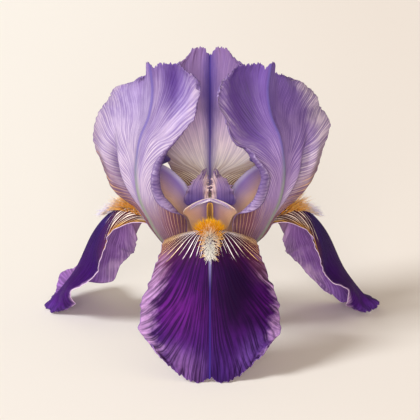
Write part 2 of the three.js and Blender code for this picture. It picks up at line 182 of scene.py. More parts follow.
@dataclass(frozen=True)
class Half:
    """One side of a blade: its width, and the angles at which it leaves the midrib and rolls on.

    The curl is a further roll of the outermost strip. The tip says how far the blade's end lies back
    across the half, as a share of its length.
    """

    width: Keys
    fold: Keys
    roll: Keys
    curl: Keys = ((0, 0), (1, 0))
    tip: Keys = ((0, 0), (1, 0))


class Trait(Enum):
    """The traits of a half that are given along the blade."""

    WIDTH = "width"
    FOLD = "fold"
    ROLL = "roll"
    CURL = "curl"


@dataclass(frozen=True)
class Ruffle:
    """Waves along both margins, whose height is given along the blade."""

    height: Keys
    power: float
    waves: float
    phase: float


@dataclass(frozen=True)
class Hem:
    """Waves across the tip."""

    height: float
    depth: float
    waves: float
    phase: float
    power: float


@dataclass(frozen=True)
class Swell:
    """One bulge, at a place across (-1 to 1) and along (0 to 1) the blade."""

    across: float
    along: float
    wide: float
    long: float
    height: float


@dataclass(frozen=True)
class Form:
    """Everything that shapes one blade."""

    midrib: Keys
    left: Half
    right: Half
    corner: Keys = ((0, 0), (1, 0))
    notch: float = 0.0
    ruffles: tuple[Ruffle, ...] = ()
    hem: Hem | None = None
    swells: tuple[Swell, ...] = ()
    spread: Keys | None = None


# Forms run from claw to tip in shares of the blade's length, with widths in millimetres and angles in
# degrees. A blade's left and right are as seen from outside the flower.

FALL_CLAW = ((4.1, 17.95), (12, 26.5), (20, 35))
SIDE_FALL_MIDRIB = FALL_CLAW + (
    (26, 40.5), (31.7, 43.6), (37, 43.9), (41, 42.3), (44.8, 39.5), (48.6, 35.8), (52, 31.2),
    (55, 25.7), (58.3, 19.5), (62, 13.8), (66.2, 8.6), (71.4, 4.4),
)
FRONT_FALL_MIDRIB = (
    (4.1, 17.95), (11, 26.5), (18, 36), (24, 43), (29.5, 46.6), (35, 47.6), (40, 46), (44, 41.5),
    (46.6, 35), (48.4, 28), (49.8, 20), (51.4, 12), (53.3, 5), (55.5, 0.6),
)
STANDARD_MIDRIB = (
    (4.6, 17.95), (12, 29), (20.4, 39.5), (24.5, 46.5), (28, 54), (29.5, 62.3), (29, 70.4),
    (27.6, 76.4), (24.5, 83), (23, 92), (24.2, 102.2),
)
BACK_STANDARD_MIDRIB = (
    (4.6, 17.95), (12, 29), (20, 39.5), (24, 46.5), (27, 54), (28.5, 62.3), (28, 70.4),
    (26.6, 76.4), (24, 83), (22, 92), (21.5, 102.6),
)

FRONT_FALL_HALF = Half(
    width=((0, 2), (0.1, 4.5), (0.24, 10), (0.32, 14), (0.42, 17), (0.52, 19), (0.62, 22), (0.72, 25),
           (0.8, 26), (0.87, 25.2), (0.92, 23.5), (1, 19.5)),
    fold=((0, -25), (0.2, -12), (0.35, -3), (0.5, 3), (0.8, 5), (1, 0)),
    roll=((0, 0), (0.25, 5), (0.4, 28), (0.6, 42), (0.8, 32), (1, 10)),
)
NEAR_FALL_HALF = Half(
    width=((0, 2), (0.1, 3.8), (0.22, 7), (0.3, 10), (0.42, 15.5), (0.52, 20.5), (0.62, 24.3), (0.72, 24.8),
           (0.82, 22), (0.92, 19), (1, 15)),
    fold=((0, -25), (0.2, -30), (0.28, -30), (0.32, -15), (0.37, 14), (0.42, 25), (0.57, 34), (0.67, 37),
          (0.77, 27), (0.84, 10), (0.92, -2), (1, -5)),
    roll=((0, 0), (0.25, 20), (0.78, 20), (0.86, 55), (0.93, 95), (1, 105)),
    curl=((0, 0), (0.3, 0), (0.45, -12), (0.7, -12), (0.85, 0), (1, 0)),
)
FAR_FALL_HALF = Half(
    width=((0, 2), (0.1, 3.8), (0.22, 7), (0.3, 9), (0.42, 13), (0.52, 16.5), (0.62, 18.2), (0.72, 18),
           (0.82, 17.5), (0.92, 16), (1, 13)),
    fold=((0, -25), (0.2, -30), (0.28, -30), (0.32, -10), (0.37, 22), (0.42, 38), (0.5, 60), (0.6, 52),
          (0.7, 32), (0.8, 16), (1, 4)),
    roll=((0, 0), (0.25, 15), (0.4, 40), (1, 40)),
)
OUTER_CLAW = (
    (0, 1.9), (0.1, 2.8), (0.26, 2.6), (0.36, 2.6), (0.42, 4.2), (0.47, 8), (0.52, 12.6), (0.62, 20.5),
)
INNER_CLAW = ((0, 1.9), (0.1, 3.8), (0.22, 8.5), (0.32, 13), (0.4, 14), (0.48, 13), (0.57, 12.5))
BACK_CLAW = ((0, 1.9), (0.1, 3.8), (0.22, 8), (0.35, 13.5))
INNER_CLAW_ROLL = ((0, 0), (0.22, -25), (0.32, -58), (0.4, -50), (0.5, -22))
STANDARD_OUTER_HALF = Half(
    width=OUTER_CLAW + ((0.67, 25), (0.72, 28.5), (0.82, 31), (0.87, 30), (0.92, 26.5), (1, 15)),
    fold=((0, -30), (0.2, -10), (0.35, 8), (0.6, 8), (0.8, 0), (1, 0)),
    roll=((0, 0), (0.3, 25), (0.45, 30), (0.6, 20), (0.8, 5), (1, -10)),
)
STANDARD_WIDE_HALF = replace(
    STANDARD_OUTER_HALF,
    width=OUTER_CLAW + ((0.67, 26), (0.72, 30.5), (0.82, 34), (0.87, 33.5), (0.92, 31.5), (1, 23)),
)
STANDARD_INNER_HALF = Half(
    width=INNER_CLAW + ((0.67, 13.5), (0.77, 16.5), (0.87, 20), (0.94, 20.5), (1, 19)),
    fold=((0, -30), (0.3, -15), (0.55, -20), (0.7, -52), (0.85, -68), (1, -62)),
    roll=INNER_CLAW_ROLL + ((0.7, 14), (0.85, 44), (1, 52)),
)
STANDARD_INNER_WIDE_HALF = replace(
    STANDARD_INNER_HALF,
    width=INNER_CLAW + ((0.67, 16), (0.77, 19.5), (0.87, 21), (0.94, 21.4), (1, 20)),
    fold=((0, -30), (0.3, -15), (0.55, -20), (0.7, -46), (0.85, -60), (1, -56)),
    roll=INNER_CLAW_ROLL + ((0.7, 10), (0.85, 36), (1, 44)),
)
BACK_STANDARD_HALF = Half(
    width=BACK_CLAW + ((0.47, 17), (0.57, 19.5), (0.67, 22), (0.77, 24), (0.87, 24), (0.94, 22), (1, 17.5)),
    fold=((0, -30), (0.3, -15), (0.6, -10), (1, -5)),
    roll=((0, 0), (0.3, -20), (0.6, -40), (1, -30)),
)

FALL_CORNER = ((0, 0), (0.6, 0), (1, 0.1))
SIDE_FALL_RUFFLE = Ruffle(height=((0, 0), (0.5, 0.05), (0.75, 0.15), (1, 0.6)), power=4, waves=7, phase=0.3)
STANDARD_RUFFLE = Ruffle(height=((0, 0), (0.3, 0.2), (0.6, 0.45), (1, 0.5)), power=4, waves=7.5, phase=0)

FRONT_FALL = Form(
    midrib=FRONT_FALL_MIDRIB, left=FRONT_FALL_HALF, right=FRONT_FALL_HALF,
    corner=((0, 0), (0.6, 0), (0.85, 0.05), (1, 0.125)), notch=0.024,
    ruffles=(Ruffle(height=((0, 0), (0.5, 0), (0.75, 0.4), (1, 0.8)), power=5, waves=7, phase=0.1),),
    hem=Hem(height=0.8, depth=0.07, waves=3.5, phase=0.2, power=0.5),
)
LEFT_FALL = Form(
    midrib=SIDE_FALL_MIDRIB, left=FAR_FALL_HALF, right=NEAR_FALL_HALF, corner=FALL_CORNER, notch=0.005,
    ruffles=(SIDE_FALL_RUFFLE,), hem=Hem(height=-1.6, depth=0.1, waves=2.4, phase=0, power=0.6),
    swells=(Swell(across=-0.8, along=0.99, wide=0.45, long=0.07, height=15),
            Swell(across=-1, along=0.85, wide=0.45, long=0.045, height=-7)),
)
RIGHT_FALL = Form(
    midrib=SIDE_FALL_MIDRIB, left=NEAR_FALL_HALF, right=FAR_FALL_HALF, corner=FALL_CORNER, notch=0.005,
    ruffles=(replace(SIDE_FALL_RUFFLE, phase=0.8),),
    hem=Hem(height=1.4, depth=0.1, waves=2.4, phase=0.1, power=0.6),
    swells=(Swell(across=-0.2, along=1, wide=0.5, long=0.06, height=2.5),
            Swell(across=0.9, along=1, wide=0.5, long=0.1, height=-3)),
)
OUTER_TIP = ((0, 0), (0.12, 0), (0.22, 0.045), (0.4, 0.06), (0.7, 0.085), (1, 0.12))
INNER_TIP = ((0, 0), (0.08, 0.02), (0.16, 0.005), (0.32, 0.012), (0.5, 0.02), (0.8, 0.05), (1, 0.09))
CENTRE_TIP = ((0, 0.032), (0.06, 0.02), (0.14, 0), (0.34, 0.004), (0.48, 0.04), (0.64, 0.06), (0.8, 0.075),
              (1, 0.09))
INNER_CURL = ((0, 0), (0.3, 0), (0.36, 30), (0.42, 110), (0.48, 150), (0.56, 130), (0.66, 95), (0.76, 60),
              (0.88, 40), (1, 20))
OUTER_SWELLS = (
    Swell(across=-0.6, along=0.57, wide=0.07, long=0.1, height=2.6),
    Swell(across=-0.42, along=0.57, wide=0.1, long=0.1, height=-1.4),
    Swell(across=-0.8, along=0.6, wide=0.12, long=0.06, height=-2),
    Swell(across=-0.9, along=0.5, wide=0.14, long=0.05, height=-2.4),
    Swell(across=-0.3, along=0.85, wide=0.16, long=0.12, height=0.8),
)
LEFT_STANDARD = Form(
    midrib=STANDARD_MIDRIB, left=replace(STANDARD_OUTER_HALF, tip=OUTER_TIP),
    right=replace(STANDARD_INNER_HALF, tip=INNER_TIP, curl=INNER_CURL),
    ruffles=(STANDARD_RUFFLE,), hem=Hem(height=0.7, depth=0.12, waves=2.5, phase=0.1, power=0.5),
    swells=(Swell(across=0.42, along=0.93, wide=0.2, long=0.1, height=2.6),
            Swell(across=0.8, along=0.8, wide=0.2, long=0.16, height=-1.6), *OUTER_SWELLS),
)
RIGHT_STANDARD = Form(
    midrib=STANDARD_MIDRIB, left=replace(STANDARD_INNER_WIDE_HALF, tip=INNER_TIP, curl=INNER_CURL),
    right=replace(STANDARD_WIDE_HALF, tip=OUTER_TIP),
    ruffles=(replace(STANDARD_RUFFLE, phase=0.5),),
    hem=Hem(height=0.7, depth=0.12, waves=2.5, phase=0.6, power=0.5),
    swells=(Swell(across=-0.42, along=0.93, wide=0.2, long=0.1, height=2.2),
            Swell(across=-0.8, along=0.8, wide=0.2, long=0.16, height=-1.4),
            *(replace(swell, across=-swell.across) for swell in OUTER_SWELLS)),
)
BACK_STANDARD = Form(
    midrib=BACK_STANDARD_MIDRIB,
    left=replace(
        BACK_STANDARD_HALF, tip=CENTRE_TIP,
        width=BACK_CLAW + ((0.47, 19.5), (0.57, 22.5), (0.67, 23), (0.77, 24), (0.87, 24), (0.94, 22),
                           (1, 17.5)),
    ),
    right=replace(BACK_STANDARD_HALF, tip=CENTRE_TIP),
    ruffles=(Ruffle(height=((0, 0), (0.3, 0.3), (0.6, 0.9), (1, 1)), power=4, waves=7, phase=0),),
    hem=Hem(height=1, depth=0.12, waves=2.5, phase=0.25, power=0.5),
    swells=(Swell(across=0.42, along=0.95, wide=0.1, long=0.16, height=-1.2),
            Swell(across=-0.42, along=0.95, wide=0.1, long=0.16, height=-1.2)),
)

ARM_HALF = Half(
    width=((0, 1.5), (0.25, 4), (0.55, 6.4), (0.8, 8.6), (0.93, 10.2), (1, 9.4)),
    fold=((0, 10), (1, 10)),
    roll=((0, 10), (0.6, 10), (1, 24)),
)
FRONT_ARM = Form(
    midrib=((0.9, 24.5), (4, 32), (7.4, 41), (11, 48.5), (15.6, 54.6)), left=ARM_HALF, right=ARM_HALF,
    corner=((0, 0), (0.7, 0.01), (1, 0.05)),
)
SIDE_ARM_HALF = replace(
    ARM_HALF, width=((0, 1.5), (0.25, 5), (0.5, 9), (0.75, 12), (0.9, 12), (1, 9)),
    fold=((0, 15), (0.4, 46), (0.8, 40), (1, 34)), roll=((0, 20), (0.5, 30), (1, 36)),
)
SIDE_ARM = replace(
    FRONT_ARM, midrib=((0.9, 24.5), (3.6, 33), (6.2, 44), (9.4, 53.2), (14.5, 58), (20, 60.6), (23, 60.4)),
    left=SIDE_ARM_HALF, right=SIDE_ARM_HALF,
)
CREST_INNER_HALF = Half(
    width=((0, 4), (0.48, 4), (0.66, 3.1), (0.79, 1.9), (0.92, 0.9), (1, 0.3)),
    fold=((0, -6), (1, -6)),
    roll=((0, -10), (1, -20)),
)
CREST_OUTER_HALF = replace(
    CREST_INNER_HALF,
    width=((0, 4.2), (0.08, 5), (0.18, 4.9), (0.38, 4), (0.52, 3.3), (0.67, 2.7), (0.8, 1.8), (0.92, 1),
           (1, 0.4)),
)
CREST_RUFFLE = Ruffle(height=((0, 0), (0.5, 0.4), (1, 0.3)), power=2, waves=3.5, phase=0.2)
FRONT_CREST = Form(
    midrib=((14.2, 51.4), (16, 57), (15.8, 61), (14.4, 65)), left=CREST_OUTER_HALF, right=CREST_INNER_HALF,
    ruffles=(CREST_RUFFLE,),
)
SIDE_CREST = replace(FRONT_CREST, midrib=((22.4, 60), (24, 62), (24.4, 64.6), (23.8, 67.4)))
CREST_SPREAD = ((0, 4.4), (0.48, 4.4), (0.66, 3.7), (0.79, 2.6), (1, 1.7))
LIP_HALF = Half(width=((0, 8), (1, 7)), fold=((0, 20), (1, 20)), roll=((0, 14), (1, 14)))
FRONT_LIP = Form(midrib=((14.8, 53.9), (16.4, 54.4), (17.2, 53.9)), left=LIP_HALF, right=LIP_HALF)
SIDE_LIP = replace(FRONT_LIP, midrib=((22, 59.8), (23.4, 59.6), (24, 58.8)))
STAMEN_HALF = Half(
    width=((0, 0.5), (0.76, 0.55), (0.8, 1.2), (0.97, 1.2), (1, 0.7)),
    fold=((0, -20), (1, -30)),
    roll=((0, 40), (0.7, 90), (1, 110)),
)
FRONT_STAMEN = Form(
    midrib=((2.9, 17.8), (5, 24), (8, 32), (11, 40), (14, 47), (16.2, 53)),
    left=STAMEN_HALF, right=STAMEN_HALF,
)
SIDE_STAMEN = replace(
    FRONT_STAMEN, midrib=((2.9, 17.8), (4.8, 24), (7.4, 32), (10.6, 40), (14.2, 45.8), (17, 49)),
)


# The surface of a blade


@dataclass(frozen=True)
class Frill:
    """Fine irregular detail that a blade carries beyond its main form, in millimetres.

    The pleats' width is in the units of the vein coordinate, and the teeth are shares of the blade's
    length and width. The counts say how many waves the curl and the teeth make along the blade.
    """

    seed: int = 1
    curl: float = 0.5
    pleat: float = 0.12
    pleat_width: float = 2.6
    teeth: float = 0.006
    rib: float = 0.35
    curl_counts: tuple[float, ...] = (9, 14.3, 21.7)
    teeth_counts: tuple[float, ...] = (11, 19.3, 30.7)


@dataclass(frozen=True)
class Veins:
    """How a petal's veins fan out: the share of them that is still between the midrib and the margin."""

    left: Keys = ((0, 1), (0.3, 0.96), (0.36, 0.86), (0.42, 0.66), (0.48, 0.47), (0.54, 0.38), (0.62, 0.31),
                  (0.75, 0.25), (0.9, 0.19), (1, 0.15))
    power: float = 0.48


SIDE_FALL_VEINS = Veins(
    left=((0, 1), (0.14, 0.97), (0.22, 0.72), (0.3, 0.42), (0.38, 0.23), (0.46, 0.13), (0.56, 0.1),
          (0.75, 0.085), (1, 0.07)),
    power=0.32,
)
STANDARD_VEINS = Veins(
    left=((0, 1), (0.3, 0.95), (0.42, 0.84), (0.5, 0.6), (0.58, 0.41), (0.66, 0.29), (0.74, 0.23),
          (0.85, 0.18), (1, 0.14)),
    power=0.45,
)
BACK_VEINS = Veins(
    left=((0, 1), (0.36, 0.94), (0.42, 0.78), (0.46, 0.5), (0.5, 0.31), (0.58, 0.24), (0.8, 0.18), (1, 0.14)),
    power=0.6,
)
ARM_VEINS = Veins(left=((0, 1), (1, 0.6)))


def section(x: Array, width: Array, fold: Array, roll: Array) -> tuple[Array, Array]:
    """How far the arc of a cross section has gone at x.

    Args:
        x: places across the half, from 0 at the midrib to 1 at the margin.
        width: the half's widths in millimetres.
        fold: the angles at which it leaves the midrib, in radians.
        roll: the angles by which it turns on towards the margin, in radians and never zero.

    Returns:
        The distances sideways and downwards, in millimetres.
    """
    slope = fold + roll * x
    out = width * (np.sin(slope) - np.sin(fold)) / roll
    return out, width * (np.cos(fold) - np.cos(slope)) / roll


@dataclass
class Blade:
    """A blade's surface, with the coordinates that its finish reads.

    The notch splits the tip over a share of the half. The curl turns the strip outside its start. The
    frill and the pleats grow in between two places along the blade, and so do the jags of the side
    margins, while the nicks are the tip's. A power says how closely a detail keeps to the tip or to the
    margin. The rib is a groove over the midrib, in millimetres, which tapers towards the tip.
    """

    form: Form
    frill: Frill
    veins: Veins = Veins()

    NOTCH_WIDTH, NOTCH_POWER = 0.12, 6
    TIP_POWER = 9
    NICK_SHARE, NICK_POWER = 0.6, 40
    JAG_FROM, JAG_BY, JAG_POWER = 0.3, 0.6, 6
    CURL_START = 0.76
    LEAST_ROLL = 1e-3
    LEAN_WIDTH = 0.12
    FRILL_SHIFT, FRILL_TIP, FRILL_POWER = 0.37, 0.06, 9
    GROWN_FROM, GROWN_BY = 0.25, 0.6
    RIB_WIDTH, RIB_TAPER = 1.3, 0.6
    VEIN_WIDTH, VEIN_SLANT = 20.0, 0.3
    TIP_REACH = 4.0
    LEAST_RIM = 1e-6
    NORMAL_STEP = 1e-3

    def __post_init__(self) -> None:
        """Walks the midrib."""
        self.midrib = Midrib(self.form.midrib)

    def half(self, trait: Trait, u: Array, v: Array) -> Array:
        """A trait of the half that each u lies on.

        Args:
            trait: the trait.
            u: places across the blade.
            v: places along it.

        Returns:
            The trait's values there.
        """
        left = ramp(getattr(self.form.left, trait.value), v)
        right = ramp(getattr(self.form.right, trait.value), v)
        return np.where(u < 0, left, right)

    def swell(self, u: Array, v: Array) -> Array:
        """How far the ruffles, the hem, single swells and the fine detail lift the blade.

        Args:
            u: places across the blade.
            v: places along it.

        Returns:
            The lifts in millimetres.
        """
        form, frill, x = self.form, self.frill, np.abs(u)
        lift = np.zeros_like(u)
        for ruffle in form.ruffles:
            turns = ruffle.waves * v + ruffle.phase
            lift += ramp(ruffle.height, v) * x**ruffle.power * np.sin(TURN * turns)
        if form.hem:
            hem = form.hem
            turns = np.sin(TURN * (hem.waves * u + hem.phase))
            lift += hem.height * bell((1 - v) / hem.depth) * turns * x**hem.power
        for swell in form.swells:
            spot = bell((v - swell.along) / swell.long) * bell((u - swell.across) / swell.wide)
            lift += swell.height * spot
        side = np.where(u < 0, self.FRILL_SHIFT, 0.0)
        grown = step(self.GROWN_FROM, self.GROWN_BY, v)
        wave = waves(v + side, frill.seed, frill.curl_counts)
        lift += frill.curl * grown * x**self.FRILL_POWER * wave
        tip = bell((1 - v) / self.FRILL_TIP)
        lift += frill.curl * tip * waves(u / 2, frill.seed + 1, frill.curl_counts)
        phase = self.vein(u, v)[..., 0] / frill.pleat_width
        lift += frill.pleat * grown * x * np.sin(TURN * phase)
        away = u * self.half(Trait.WIDTH, u, v)
        return lift - frill.rib * bell(away / self.RIB_WIDTH) * (1 - self.RIB_TAPER * v)

    def vein(self, u: Array, v: Array) -> Array:
        """The vein coordinates of places on the blade.

        Args:
            u: places across the blade.
            v: places along it.

        Returns:
            Vectors of the place across the veins, the place along them, and how far they have spread.
        """
        width = self.half(Trait.WIDTH, u, v)
        left = ramp(self.veins.left, v)
        along = v * self.midrib.length + self.VEIN_SLANT * np.abs(u) * width
        label = self.VEIN_WIDTH * np.sign(u) * np.abs(u) ** self.veins.power * left
        return np.stack([label, along, width / (self.VEIN_WIDTH * left)], -1)

    def petal(self, u: Array, v: Array) -> Array:
        """The petal coordinates of places on the blade.

        Args:
            u: places across the blade.
            v: places along it.

        Returns:
            Vectors of u, v and a measure of the distance from the margin, in millimetres.
        """
        side = (1 - np.abs(u)) * self.half(Trait.WIDTH, u, v)
        end = (1 - v) * self.midrib.length * self.TIP_REACH
        rim = np.sqrt(side * end / (side + end + self.LEAST_RIM) * np.minimum(side, end))
        return np.stack([u, v, rim], -1)

    def reach(self, u: Array, v: Array) -> Array:
        """How far along the midrib places lie, once the notch, the tips and the teeth are cut.

        Args:
            u: places across the blade.
            v: places along it, before the cuts.

        Returns:
            Places along the midrib, from 0 to 1.
        """
        form, frill, x = self.form, self.frill, np.abs(u)
        notch = form.notch * bell(x / self.NOTCH_WIDTH) * v**self.NOTCH_POWER
        nick = self.NICK_SHARE * frill.teeth * (1 + waves(u / 2, frill.seed + 2, frill.teeth_counts))
        tips = np.where(u < 0, ramp(form.left.tip, x), ramp(form.right.tip, x)) * v**self.TIP_POWER
        corner = v * (1 - ramp(form.corner, v) * x * x)
        return np.clip(corner - notch - tips - nick * v**self.NICK_POWER, 0, 1)

    def points(self, u: Array, v: Array) -> Array:
        """The blade's points.

        Args:
            u: places across the blade.
            v: places along it.

        Returns:
            Points in millimetres: x outwards from the axis, y sideways to the right, z up.
        """
        x = np.abs(u)
        t = self.reach(u, v)
        rib, tangent = self.midrib.at(t)
        jag = self.frill.teeth * waves(v, self.frill.seed + 3, self.frill.teeth_counts)
        jag = jag * step(self.JAG_FROM, self.JAG_BY, v) * x**self.JAG_POWER
        width = self.half(Trait.WIDTH, u, v) * (1 + jag)
        fold = np.radians(self.half(Trait.FOLD, u, v))
        roll = np.radians(self.half(Trait.ROLL, u, v))
        roll = np.where(np.abs(roll) < self.LEAST_ROLL, self.LEAST_ROLL, roll)
        beyond = np.clip((x - self.CURL_START) / (1 - self.CURL_START), 0, 1)
        curl = np.radians(self.half(Trait.CURL, u, v)) * beyond
        out0, drop0 = section(np.minimum(x, self.CURL_START), width, fold, roll)
        out1, drop1 = section(x, width, fold, roll)
        out = out0 + (out1 - out0) * np.cos(curl) - (drop1 - drop0) * np.sin(curl)
        drop = drop0 + (out1 - out0) * np.sin(curl) + (drop1 - drop0) * np.cos(curl)
        slope = fold + roll * x + curl
        swell = self.swell(u, v)
        sideways = np.sign(u) * (out + np.sin(slope) * swell * step(0.0, self.LEAN_WIDTH, x))
        if self.form.spread:
            sideways = sideways + ramp(self.form.spread, t)
        lift = np.cos(slope) * swell - drop
        outwards = rib[..., 0] - tangent[..., 1] * lift
        return np.stack([outwards, sideways, rib[..., 1] + tangent[..., 0] * lift], -1)

    def normals(self, u: Array, v: Array) -> Array:
        """The blade's upward normals, from two short steps along it.

        Args:
            u: places across the blade.
            v: places along it.

        Returns:
            Vectors of length one.
        """
        ahead = self.points(u, np.minimum(v + self.NORMAL_STEP, 1))
        along = ahead - self.points(u, np.maximum(v - self.NORMAL_STEP, 0))
        across = self.points(u + self.NORMAL_STEP, v) - self.points(u - self.NORMAL_STEP, v)
        return unit(np.cross(along, across))


# Writing meshes


class Slot(Enum):
    """The finishes that the part's record gives to its pieces."""

    FALL = "fall_petal"
    STANDARD = "standard_petal"
    BEARD = "beard_hair"
    STAMEN = "stamen"
    STYLE = "style_petal"
    TUBE = "tube_flesh"


@dataclass(frozen=True)
class Placing:
    """The flower's axis in the shared frame, in metres."""

    axis: Vector

    def put(self, points: Array, heading: float = 0.0) -> Array:
        """Turns points round the axis and moves them onto it.

        Args:
            points: points in the flower's frame or a blade's, in millimetres.
            heading: the turn in degrees.

        Returns:
            Points in the shared frame, in metres.
        """
        angle = math.radians(heading)
        cosine, sine = math.cos(angle), math.sin(angle)
        x = points[..., 0] * cosine - points[..., 1] * sine
        y = points[..., 0] * sine + points[..., 1] * cosine
        placed = np.stack([x, y, points[..., 2]], -1) * MM
        return placed + np.array([self.axis.x, self.axis.y, 0.0])


def take_mesh(bm: bmesh.types.BMesh, name: str) -> bpy.types.Mesh:
    """Writes a bmesh into a new mesh and frees it.

    Args:
        bm: the bmesh.
        name: the mesh's name.

    Returns:
        The mesh.
    """
    mesh = bpy.data.meshes.new(name)
    bm.to_mesh(mesh)
    bm.free()
    return mesh


def grid_mesh(name: str, across: int, along: int, half: float = 1.0) -> bpy.types.Mesh:
    """A flat square grid, to be moved into shape.

    Args:
        name: the mesh's name.
        across: how many faces it has from side to side.
        along: how many faces it has from end to end.
        half: half its side.

    Returns:
        The mesh.
    """
    bm = bmesh.new()
    bmesh.ops.create_grid(bm, x_segments=across, y_segments=along, size=half)
    return take_mesh(bm, name)


def read_points(mesh: bpy.types.Mesh) -> Array:
    """A mesh's vertex places.

    Args:
        mesh: the mesh.

    Returns:
        One row for each vertex.
    """
    flat = np.zeros(len(mesh.vertices) * 3, np.float32)
    mesh.vertices.foreach_get("co", flat)
    return flat.reshape(-1, 3).astype(float)


def write_points(mesh: bpy.types.Mesh, points: Array) -> None:
    """Sets a mesh's vertex places."""
    mesh.vertices.foreach_set("co", points.astype(np.float32).ravel())
    mesh.update()


def write_attribute(mesh: bpy.types.Mesh, name: str, values: Array) -> None:
    """Stores a vector or a number for each vertex.

    Args:
        mesh: the mesh.
        name: the name under which materials read it.
        values: one row of three or one number for each vertex.
    """
    kind, part = ("FLOAT_VECTOR", "vector") if values.ndim > 1 else ("FLOAT", "value")
    attribute = mesh.attributes.new(name, kind, "POINT")
    attribute.data.foreach_set(part, values.astype(np.float32).ravel())


def link(name: str, data: bpy.types.ID) -> bpy.types.Object:
    """A new object in the scene.

    Args:
        name: its name.
        data: its mesh, light or camera.

    Returns:
        The object.
    """
    made = bpy.data.objects.new(name, data)
    bpy.context.scene.collection.objects.link(made)
    return made


def new_object(mesh: bpy.types.Mesh, *materials: Material) -> bpy.types.Object:
    """A smooth-shaded object.

    Args:
        mesh: its mesh, whose name it takes.
        *materials: the materials of its slots.

    Returns:
        The object.
    """
    for material in materials:
        mesh.materials.append(material)
    mesh.shade_smooth()
    return link(mesh.name, mesh)


THIN_LEVELS = 10


def thicken(obj: bpy.types.Object, thickness: float, margin: float, weights: Array) -> None:
    """Gives a sheet a real thickness that thins towards its margin, and its second material below.

    Args:
        obj: the sheet.
        thickness: its thickness in millimetres.
        margin: the share of that thickness at the margin.
        weights: one at full thickness and zero at the margin, for each vertex.
    """
    group = obj.vertex_groups.new(name="body")
    levels = np.round(np.clip(weights, 0, 1) * THIN_LEVELS).astype(int)
    for level in range(THIN_LEVELS + 1):
        group.add([int(i) for i in np.flatnonzero(levels == level)], level / THIN_LEVELS, "REPLACE")
    shell = obj.modifiers.new("thickness", "SOLIDIFY")
    shell.thickness = thickness * MM
    shell.offset = 0.0
    shell.vertex_group = group.name
    shell.thickness_vertex_group = margin
    shell.material_offset = 1
    shell.material_offset_rim = 0


def finish_piece(obj: bpy.types.Object, node: str) -> bpy.types.Object:
    """Says what a piece rides on and which node it stands for.

    Args:
        obj: the piece.
        node: the node that it stands for, alone or with other pieces.

    Returns:
        The piece.
    """
    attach(obj, "root")
    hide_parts(node)
    LOG.info("%s: %d faces, stands for %s", obj.name, len(obj.data.polygons), node)
    return obj


# Materials

# The curve from a screen's values to light: where its straight part ends and how steep that part is, and
# the shift and the power of the rest.
CURVE_START, CURVE_SLOPE = 0.04045, 12.92
CURVE_SHIFT, CURVE_POWER = 0.055, 2.4


def linear(value: float) -> float:
    """The light that a screen's value stands for."""
    rest = ((value + CURVE_SHIFT) / (1 + CURVE_SHIFT)) ** CURVE_POWER
    return value / CURVE_SLOPE if value <= CURVE_START else rest


def colour(text: str) -> Colour:
    """The linear values, with an alpha of one, of a colour given as six hexadecimal digits."""
    red, green, blue = (linear(int(text[i : i + 2], 16) / 255) for i in (0, 2, 4))
    return (red, green, blue, 1.0)


